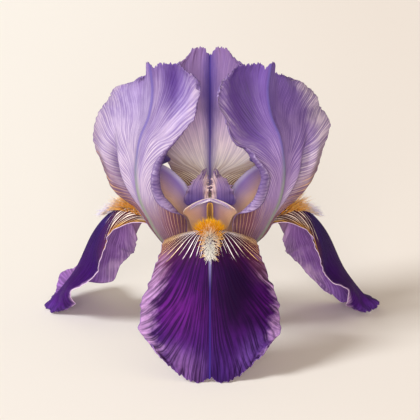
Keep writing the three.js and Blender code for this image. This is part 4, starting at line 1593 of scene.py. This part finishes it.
class Heading(Enum):
    """The directions in which the flower's pieces stand round its axis, in degrees."""

    FRONT = -90.0
    LEFT = -210.0
    RIGHT = 30.0
    STANDARD_LEFT = -150.0
    STANDARD_RIGHT = -30.0
    BACK = 90.0


@dataclass
class Petal:
    """One thin petal, made from its blade.

    Its thickness falls to the margin's share of it over the outermost millimetres. A petal that rests is
    bent from a short way beyond its crown, until its tip is pressed on to the ground.
    """

    name: str
    blade: Blade
    heading: Heading
    upper: Material
    under: Material
    slot: Slot
    node: str
    across: int = 132
    along: int = 230
    thickness: float = 0.42
    margin: float = 0.45
    thins_over: float = 4.0
    rests: bool = False
    crown: float = 38.0
    pressed: float = 0.5

    BEND_START = 1.0

    def build(self, placing: Placing) -> bpy.types.Object:
        """Makes the petal.

        Args:
            placing: where the flower's axis is.

        Returns:
            The finished piece.
        """
        mesh = grid_mesh(self.name, self.across, self.along)
        flat = read_points(mesh)
        u, v = -flat[:, 0], (flat[:, 1] + 1) / 2
        points = self.blade.points(u, v)
        if self.rests:
            points = self.rest(points)
        write_points(mesh, placing.put(points, self.heading.value))
        petal = self.blade.petal(u, v)
        write_attribute(mesh, "petal", petal)
        write_attribute(mesh, "vein", self.blade.vein(u, v))
        write_attribute(mesh, "away", u * self.blade.half(Trait.WIDTH, u, v))
        obj = new_object(mesh, self.upper, self.under)
        thicken(obj, self.thickness, self.margin, petal[:, 2] / self.thins_over)
        return finish_piece(obj, self.node)

    def rest(self, points: Array) -> Array:
        """Bends the petal beyond its crown, more the further out, until its tip lies on the ground.

        Args:
            points: the petal's points.

        Returns:
            The bent petal's points.
        """
        floor = self.thickness / 2
        reach = points[:, 0] - self.crown
        outer = reach > self.BEND_START
        bend = np.min((points[outer, 2] - floor + self.pressed) / reach[outer])
        height = points[:, 2] - np.where(outer, bend * reach, 0)
        return np.stack([points[:, 0], points[:, 1], np.maximum(height, floor)], -1)


# Beards


@dataclass
class Beard:
    """Tapered hairs that stand in a dense strip along a fall's midrib.

    The strip's begin and end are places along the fall. The scatter and the lean are in degrees.
    """

    name: str
    blade: Blade
    heading: Heading
    node: str
    material: Material
    seed: int
    begin: float = 0.16
    end: float = 0.575
    hairs: int = 1300
    half_width: float = 3.5
    length: float = 3.7
    radius: float = 0.14
    lean: float = 42.0
    scatter: float = 12.5
    rings: int = 4
    sides: int = 4

    TIP_RADIUS, TIP_HEIGHT = 0.12, 1e-4
    CROWDING = 0.85
    SIDE_SPREAD = 0.5
    NARROWS, NARROWS_FROM = 0.55, 0.7
    ALONG_STEP = 2e-3
    DOME = 0.55
    LIFT = 0.15
    SPREAD_ANGLE = 54
    FIRST_LEAN = 8
    UPWARD_BOW = 0.35
    FORWARD_BOW = (0.1, 0.25)
    BOW = 0.45
    BACK_LENGTH, GROWS, GROWN_AT = 0.45, 0.55, 0.5
    LONGER, LONGEST_AT, LONGEST_OVER = 0.2, 0.66, 0.14
    SHORTER, SHORTER_FROM = 0.15, 0.85
    LENGTHS = (0.72, 1.08)
    SHORTER_SIDES = 0.18
    TWIST = 0.31

    def template(self) -> bpy.types.Mesh:
        """One upright hair of unit length and radius, open at its root.

        Returns:
            The hair.
        """
        bm = bmesh.new()
        bmesh.ops.create_cone(
            bm, cap_ends=False, segments=self.sides, radius1=1.0, radius2=self.TIP_RADIUS, depth=1.0
        )
        half = Vector((0, 0, 0.5))
        upright = [edge for edge in bm.edges if edge.verts[0].co.z * edge.verts[1].co.z < 0]
        bmesh.ops.subdivide_edges(bm, edges=upright, cuts=self.rings - 1, use_grid_fill=False)
        top = [vert for vert in bm.verts if vert.co.z > half.z - self.TIP_HEIGHT]
        bmesh.ops.pointmerge(bm, verts=top, merge_co=half)
        bmesh.ops.translate(bm, verts=bm.verts, vec=half)
        return take_mesh(bm, "hair")

    def build(self, placing: Placing) -> bpy.types.Object:
        """Makes the beard.

        Args:
            placing: where the flower's axis is.

        Returns:
            The finished piece.
        """
        hair = self.template()
        shape = read_points(hair)
        draw = np.random.default_rng(self.seed)
        t = draw.uniform(0, 1, self.hairs) ** self.CROWDING
        side = np.clip(draw.normal(0, self.SIDE_SPREAD, self.hairs), -1, 1)
        points = self.grow(shape, t, side, draw)
        bm = bmesh.new()
        for _ in range(self.hairs):
            bm.from_mesh(hair)
        mesh = take_mesh(bm, self.name)
        write_points(mesh, placing.put(points.reshape(-1, 3), self.heading.value))
        count = len(shape)
        tip = np.tile(shape[:, 2], self.hairs)
        write_attribute(mesh, "hair", np.stack([np.repeat(t, count), tip, np.repeat(side, count)], -1))
        return finish_piece(new_object(mesh, self.material), self.node)

    def growth(self, t: Array) -> Array:
        """How long hairs grow: short at the back, longest two thirds along and shorter at the front.

        Args:
            t: each hair's place along the strip, from 0 to 1.

        Returns:
            The lengths, where 1 is the beard's own.
        """
        longer = self.LONGER * bell((t - self.LONGEST_AT) / self.LONGEST_OVER)
        shorter = self.SHORTER * step(self.SHORTER_FROM, 1.0, t)
        return self.BACK_LENGTH + self.GROWS * step(0.0, self.GROWN_AT, t) + longer - shorter

    def grow(self, shape: Array, t: Array, side: Array, draw: np.random.Generator) -> Array:
        """Stands the hairs on the fall, each leaning and bowed in its own way.

        Args:
            shape: the points of one upright hair.
            t: each hair's place along the strip, from 0 to 1.
            side: each hair's place across it, from -1 to 1.
            draw: what the random values are drawn from.

        Returns:
            The points of each hair.
        """
        v = self.begin + (self.end - self.begin) * t
        wide = self.half_width * (1 - self.NARROWS * step(self.NARROWS_FROM, 1.0, t))
        u = side * wide / self.blade.half(Trait.WIDTH, side, v)
        middle = np.zeros_like(v)
        normal = self.blade.normals(middle, v)
        ahead = self.blade.points(middle, v + self.ALONG_STEP)
        along = unit(ahead - self.blade.points(middle, v - self.ALONG_STEP))
        sideways = np.array([0.0, 1.0, 0.0])
        dome = self.DOME * (1 - side**2)
        root = self.blade.points(u, v) + normal * (self.LIFT + dome)[:, None]
        spread = np.radians(side * self.SPREAD_ANGLE + draw.normal(0, self.scatter, self.hairs))
        lean = np.radians(self.FIRST_LEAN + self.lean * t + draw.normal(0, self.scatter, self.hairs))
        direction = normal * (np.cos(spread) * np.cos(lean))[:, None]
        direction = unit(direction + (sideways * np.sin(spread)[:, None] + along * np.sin(lean)[:, None]))
        forward = draw.normal(*self.FORWARD_BOW, self.hairs)
        bow = normal * self.UPWARD_BOW + along * forward[:, None]
        length = self.length * self.growth(t) * draw.uniform(*self.LENGTHS, self.hairs)
        length = length * (1 - self.SHORTER_SIDES * np.abs(side))
        first = unit(np.cross(direction, normal + sideways * self.TWIST))
        second = np.cross(direction, first)
        height = shape[:, 2]
        stem = direction[:, None, :] * (length[:, None] * height)[..., None]
        stem = stem + bow[:, None, :] * (self.BOW * length[:, None] * height**2)[..., None]
        ring = first[:, None, :] * shape[:, 0, None] + second[:, None, :] * shape[:, 1, None]
        return root[:, None, :] + stem + ring * self.radius


@dataclass(frozen=True)
class HairFinish:
    """Hairs that turn, towards the beard's front, from gold to white with yellow tips at its sides."""

    name: str
    root: str = "f0ac00"
    gold: str = "ffd020"
    white: str = "fffefa"
    yellow: str = "ffd25a"
    turn: float = 0.75
    turn_soft: tuple[float, float] = (-0.1, 0.08)
    yellow_sides: tuple[float, float] = (0.35, 0.9)
    yellow_tips: tuple[float, float] = (0.3, 0.7)
    yellow_strength: float = 0.85
    mottle_scale: float = 1400.0
    raggedness: float = 0.35
    sides_later: float = -0.12
    roughness: float = 0.45
    roughness_range: float = 0.2
    gloss: float = 0.25
    glow: float = 0.45

    def material(self) -> Material:
        """Builds the material.

        Returns:
            The material, which reads each hair's own coordinates.
        """
        made, graph = new_material(self.name)
        t, tip, side = graph.split(graph.attribute("hair"))
        x = graph.size(side)
        mottle = graph.noise(graph.scaled(graph.place(), self.mottle_scale))
        gold = graph.mix(tip, colour(self.root), colour(self.gold))
        outer = graph.times(graph.fade(x, *self.yellow_sides), graph.fade(tip, *self.yellow_tips))
        outer = graph.times(outer, self.yellow_strength)
        pale = graph.mix(outer, colour(self.white), colour(self.yellow))
        turned = graph.times_plus(graph.minus(mottle, 0.5), self.raggedness, t)
        turned = graph.times_plus(x, self.sides_later, turned)
        begins, ends = (self.turn + soft for soft in self.turn_soft)
        shade = graph.mix(graph.fade(turned, begins, ends), gold, pale)
        roughness = graph.times_plus(mottle, self.roughness_range, self.roughness)
        graph.end(shade, roughness, gloss=self.gloss, glow=self.glow)
        return made


# The tube and the column


@dataclass
class Tube:
    """The fleshy tube that the petals grow from, and the column that carries the style arms."""

    placing: Placing
    groups: SharedGroups
    top: float = 17.3
    bottom: float = 7.0
    radii: Keys = ((0, 3.0), (0.45, 3.3), (0.72, 4.0), (1, 5.7))
    ribs: int = 6
    rib_depth: float = 0.085
    rings: int = 28
    steps: int = 96
    column_bottom: float = 17.6
    column_top: float = 27.5
    column_radius: float = 1.7
    column_rings: int = 12
    column_steps: int = 40
    green: str = "8d9a62"
    pale_green: str = "a9ad7c"
    violet: str = "8f7a92"
    violet_strength: float = 0.5
    violet_heights: tuple[float, float] = (0.010, 0.018)
    lines_round: float = 900.0
    lines_up: float = 90.0
    lines_fade: tuple[float, float] = (0.35, 0.65)
    cell: float = 0.5
    cell_height: float = 0.4
    bump: float = 0.3
    bump_distance: float = 0.3
    roughness: float = 0.35
    roughness_range: float = 0.2

    def lathe(self, name: str, radii: Array, heights: Array, steps: int) -> bpy.types.Mesh:
        """Spins a wall all the way round the axis and closes its ends.

        Args:
            name: the mesh's name.
            radii: the wall's radii, from the bottom to the top.
            heights: the heights that they are at.
            steps: how many faces go round.

        Returns:
            The mesh.
        """
        wall = [Vector((radius, 0, height)) for radius, height in zip(radii, heights)]
        profile = [Vector((0, 0, heights[0])), *wall, Vector((0, 0, heights[-1]))]
        bm = bmesh.new()
        verts = [bm.verts.new(point) for point in profile]
        edges = [bm.edges.new(pair) for pair in zip(verts, verts[1:])]
        bmesh.ops.spin(
            bm, geom=verts + edges, cent=Vector(), axis=Vector((0, 0, 1)), angle=TURN, steps=steps,
            use_merge=True, use_duplicate=False,
        )
        bmesh.ops.remove_doubles(bm, verts=bm.verts, dist=1e-3)
        bmesh.ops.recalc_face_normals(bm, faces=bm.faces)
        return take_mesh(bm, name)

    def build(self) -> None:
        """Makes the tube with its ribs, and the column."""
        flesh = self.material()
        t = np.linspace(0, 1, self.rings)
        heights = self.bottom + (self.top - self.bottom) * t
        mesh = self.lathe("perianth_tube_flesh", ramp(self.radii, t), heights, self.steps)
        points = read_points(mesh)
        angle = np.arctan2(points[:, 1], points[:, 0])
        points[:, :2] *= (1 + self.rib_depth * np.cos(self.ribs * angle))[:, None]
        write_points(mesh, self.placing.put(points))
        finish_piece(new_object(mesh, flesh), "perianth_tube")

        heights = np.linspace(self.column_bottom, self.column_top, self.column_rings)
        radii = np.full_like(heights, self.column_radius)
        mesh = self.lathe("style_column", radii, heights, self.column_steps)
        write_points(mesh, self.placing.put(read_points(mesh)))
        finish_piece(new_object(mesh, flesh), "style")

    def material(self) -> Material:
        """Fleshy green with fine lines up its length, flushed violet towards the top.

        Returns:
            The material.
        """
        made, graph = new_material("tube_flesh")
        place = graph.place()
        x, y, z = graph.split(place)
        around = self.lines_round
        up = self.lines_up
        stretched = graph.join(graph.times(x, around), graph.times(y, around), graph.times(z, up))
        lines = graph.noise(stretched, detail=3.0, roughness=0.6)
        cells = graph.group(self.groups.tissue, Place=place, Cell=self.cell)
        striped = graph.fade(lines, *self.lines_fade)
        shade = graph.mix(striped, colour(self.green), colour(self.pale_green))
        flushed = graph.times(graph.fade(z, *self.violet_heights), self.violet_strength)
        shade = graph.mix(flushed, shade, colour(self.violet))
        height = graph.times_plus(cells, self.cell_height, lines)
        normal = graph.bump(height, self.bump, self.bump_distance)
        graph.end(shade, graph.times_plus(lines, self.roughness_range, self.roughness), normal=normal)
        return made


# The flower


@dataclass
class Falls:
    """The three falls and their beards. The side beards have longer, thicker and fewer hairs."""

    placing: Placing
    groups: SharedGroups
    side_length: float = 5.8
    side_end: float = 0.525
    side_lean: float = 30.0
    side_scatter: float = 19.0
    side_hairs: int = 900
    side_radius: float = 0.17

    def build(self) -> None:
        """Builds every fall, with its beard."""
        under = FALL_UNDER.material(self.groups)
        hair = HairFinish("beard_hair").material()
        side_hair = HairFinish(
            "side_beard_hair", root="f2ba4a", gold="ffdc86", white="f4f0fc", yellow="f6e4c0", turn=0.74
        ).material()
        fan = SIDE_FALL_VEINS
        rows = (
            ("front", FRONT_FALL, Heading.FRONT, FALL_UPPER, Veins(), Frill(seed=11, curl=0.35)),
            ("left", LEFT_FALL, Heading.LEFT, LEFT_FALL_UPPER, fan, Frill(seed=21, curl=0.2)),
            ("right", RIGHT_FALL, Heading.RIGHT, SIDE_FALL_UPPER, fan, Frill(seed=31, curl=0.2)),
        )
        for side, form, heading, finish, veins, frill in rows:
            blade = Blade(form, frill, veins)
            upper = finish.material(self.groups)
            Petal(
                f"fall_{side}_blade", blade, heading, upper, under, Slot.FALL, f"fall_{side}", rests=True
            ).build(self.placing)
            beard = Beard(f"beard_{side}_hairs", blade, heading, f"beard_{side}", hair, frill.seed)
            if heading is not Heading.FRONT:
                beard = replace(
                    beard, material=side_hair, length=self.side_length, end=self.side_end,
                    lean=self.side_lean, scatter=self.side_scatter, hairs=self.side_hairs,
                    radius=self.side_radius,
                )
            beard.build(self.placing)


@dataclass
class Standards:
    """The three standards, whose upper face is the inner one."""

    placing: Placing
    groups: SharedGroups
    frill: Frill = Frill(
        curl=0.14, pleat=0.05, teeth=0.008, rib=0.7, curl_counts=(17, 29.3, 43.7),
        teeth_counts=(23, 37.3, 53.7),
    )

    def build(self) -> None:
        """Builds every standard."""
        inner = STANDARD_INNER.material(self.groups)
        fold = STANDARD_FOLD.material(self.groups)
        rows = (
            ("left", LEFT_STANDARD, Heading.STANDARD_LEFT, 41, fold, LEFT_OUTER, STANDARD_VEINS),
            ("right", RIGHT_STANDARD, Heading.STANDARD_RIGHT, 51, fold, SHADED_RIGHT_OUTER, STANDARD_VEINS),
            ("back", BACK_STANDARD, Heading.BACK, 61, inner, STANDARD_OUTER, BACK_VEINS),
        )
        for side, form, heading, seed, upper, finish, veins in rows:
            blade = Blade(form, replace(self.frill, seed=seed), veins)
            under = finish.material(self.groups)
            Petal(
                f"standard_{side}_blade", blade, heading, upper, under, Slot.STANDARD, f"standard_{side}"
            ).build(self.placing)


class Hand(Enum):
    """The two sides of a style arm."""

    LEFT = -1
    RIGHT = 1

    def crest(self) -> str:
        """The name that the crests on this side begin with."""
        return f"style_crest_{self.name.lower()}"


@dataclass(frozen=True)
class Arm:
    """The forms of one style arm, its two crests, its lip and the stamen under it."""

    side: str
    heading: Heading
    body: Form
    crest: Form
    lip: Form
    stamen: Form


@dataclass
class Style:
    """The three style arms with their crests and lips, and the stamens beneath them."""

    placing: Placing
    groups: SharedGroups
    arms: tuple[Arm, ...] = (
        Arm("front", Heading.FRONT, FRONT_ARM, FRONT_CREST, FRONT_LIP, FRONT_STAMEN),
        Arm("left", Heading.LEFT, SIDE_ARM, SIDE_CREST, SIDE_LIP, SIDE_STAMEN),
        Arm("right", Heading.RIGHT, SIDE_ARM, SIDE_CREST, SIDE_LIP, SIDE_STAMEN),
    )
    smooth: Frill = Frill(curl=0.0, pleat=0.0, teeth=0.0, rib=-0.25)
    toothed: Frill = Frill(
        seed=71, curl=0.2, pleat=0.1, pleat_width=2.4, teeth=0.2, rib=0.0, curl_counts=(3, 5.1, 8.3),
        teeth_counts=(7, 11, 17),
    )
    arm_thickness: float = 0.6
    lip_thickness: float = 0.3
    stamen_thickness: float = 0.7
    crest_thickness: float = 0.35
    crest_lean: float = 1.2

    def build(self) -> None:
        """Builds every arm with its lip, its stamen and its crests."""
        upper = ARM_UPPER.material(self.groups)
        under = ARM_UNDER.material(self.groups)
        lip = LIP_FACE.material(self.groups)
        amber = STAMEN_FACE.material(self.groups)
        crests = [(hand, self.crest_material(hand)) for hand in Hand]
        for arm in self.arms:
            stamen = self.blade(arm, "anther", arm.stamen, (amber, amber), self.stamen_thickness)
            pieces = [
                self.blade(arm, "style_arm", arm.body, (upper, under), self.arm_thickness),
                self.blade(arm, "style_lip", arm.lip, (lip, lip), self.lip_thickness),
                replace(stamen, slot=Slot.STAMEN, node=f"stamen_{arm.side}"),
                *(self.crest(arm, hand, face) for hand, face in crests),
            ]
            for piece in pieces:
                piece.build(self.placing)

    def blade(self, arm: Arm, kind: str, form: Form, faces: tuple[Material, Material],
              thickness: float) -> Petal:
        """A small smooth blade of one arm, on a coarser grid than a petal's.

        Args:
            arm: the arm that it belongs to.
            kind: the first part of its name.
            form: its form.
            faces: its upper and its under material.
            thickness: its thickness in millimetres.

        Returns:
            The piece, which isn't built yet.
        """
        return Petal(
            f"{kind}_{arm.side}", Blade(form, self.smooth, ARM_VEINS), arm.heading, *faces, Slot.STYLE,
            "style", across=60, along=90, thickness=thickness, margin=0.5,
        )

    def crest(self, arm: Arm, hand: Hand, face: Material) -> Petal:
        """One of the two serrated crests that stand on an arm's end.

        Args:
            arm: the arm that it stands on.
            hand: the side that it stands on.
            face: its material.

        Returns:
            The piece, which isn't built yet.
        """
        left, right = CREST_INNER_HALF, CREST_OUTER_HALF
        if hand is Hand.LEFT:
            left, right = right, left
        spread = tuple((t, hand.value * distance) for t, distance in CREST_SPREAD)
        form = replace(arm.crest, spread=spread, left=left, right=right)
        plain = self.blade(arm, hand.crest(), form, (face, face), self.crest_thickness)
        toothed = replace(self.toothed, seed=self.toothed.seed + hand.value)
        return replace(plain, blade=Blade(form, toothed, ARM_VEINS))

    def crest_material(self, hand: Hand) -> Material:
        """A crest's material, whose margin is wider towards the arm's middle."""
        finish = replace(CREST_FACE, name=hand.crest(), margin_lean=self.crest_lean * hand.value)
        return finish.material(self.groups)


# The room


@dataclass(frozen=True)
class Sun:
    """A light that shines in one direction, from a disc that fills size degrees of the sky."""

    name: str
    energy: float
    size: float
    shade: str
    heading: tuple[float, float, float]

    def build(self) -> None:
        """Adds the light."""
        data = bpy.data.lights.new(self.name, "SUN")
        data.energy = self.energy
        data.angle = math.radians(self.size)
        data.color = colour(self.shade)[:3]
        link(self.name, data).rotation_euler = Vector(self.heading).to_track_quat("-Z", "Y").to_euler()


@dataclass
class Studio:
    """A pale floor, soft light from the left and the front, and a camera at the photograph's angle."""

    placing: Placing
    elevation: float = 14.0
    distance: float = 650.0
    target_height: float = 46.4
    lens: float = 154.77
    sensor: float = 36.0
    floor_half: float = 6.0
    floor_colour: str = "f4f2e9"
    floor_painted_shade: str = "e8e1d6"
    floor_turn: float = 0.2
    floor_mottle: float = 0.1
    sky_colour: str = "fff2e6"
    sky_cast: str = "ffeee2"
    sky_light: float = 0.43
    suns: tuple[Sun, ...] = (
        Sun("window", energy=2.95, size=22.0, shade="f6f9ff", heading=(0.72, 0.42, -0.62)),
        Sun("reflector", energy=2.6, size=26.0, shade="fff6ee", heading=(0.04, 0.98, -0.19)),
    )

    def build(self) -> None:
        """Builds the camera, the lights, the sky and the floor."""
        self.build_camera()
        for sun in self.suns:
            sun.build()
        self.build_sky()
        self.build_floor()

    def build_camera(self) -> None:
        """Looks along +Y and down at the flower."""
        data = bpy.data.cameras.new("camera")
        data.lens = self.lens
        data.sensor_width = self.sensor
        data.clip_start = 0.01
        data.clip_end = 50.0
        camera = link("camera", data)
        tilt = math.radians(self.elevation)
        back = Vector((0, -math.cos(tilt), math.sin(tilt)))
        target = self.placing.axis + Vector((0, 0, self.target_height * MM))
        camera.location = target + back * self.distance * MM
        camera.rotation_euler = (-back).to_track_quat("-Z", "Y").to_euler()
        bpy.context.scene.camera = camera
        bpy.context.scene.view_settings.view_transform = "Standard"

    def build_sky(self) -> None:
        """An even sky that the camera sees brighter than it lights."""
        world = bpy.data.worlds.new("room")
        world.use_nodes = True
        graph = Graph(world.node_tree)
        seen = graph.tree.nodes["Background"]
        seen.inputs["Color"].default_value = colour(self.sky_colour)
        feeds = {"Color": colour(self.sky_cast), "Strength": self.sky_light}
        lit = graph.node("ShaderNodeBackground", feeds)[0]
        from_camera = graph.node("ShaderNodeLightPath")["Is Camera Ray"]
        graph.blend(from_camera, lit, seen.outputs[0], "World Output")
        bpy.context.scene.world = world

    def build_floor(self) -> None:
        """A wide matt floor with the faintest unevenness, and painted shade that darkens it a little to the
        right, away from the window light.
        """
        made, graph = new_material("matt_paper")
        place = graph.place()
        # Painted shade: darker towards the right.
        shade_to_right = graph.fade(graph.split(place)[0], -self.floor_turn, self.floor_turn)
        share = graph.times_plus(graph.noise(place, detail=1.0), self.floor_mottle, shade_to_right)
        shade = graph.mix(share, colour(self.floor_colour), colour(self.floor_painted_shade))
        graph.end(shade, roughness=0.9, gloss=0.1)
        new_object(grid_mesh("floor", 1, 1, self.floor_half), made)


def main() -> None:
    """Loads the frame, and builds the room and the flower round it."""
    logging.basicConfig(level=logging.INFO, format="%(message)s")
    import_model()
    low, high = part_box("perianth_tube")
    middle = (low + high) / 2
    placing = Placing(Vector((middle.x, middle.y, 0.0)))
    groups = SharedGroups()
    parts = (
        Studio(placing), Falls(placing, groups), Standards(placing, groups), Style(placing, groups),
        Tube(placing, groups),
    )
    for part in parts:
        part.build()
        LOG.info("%s built", type(part).__name__)


if __name__ == "__main__":
    main()
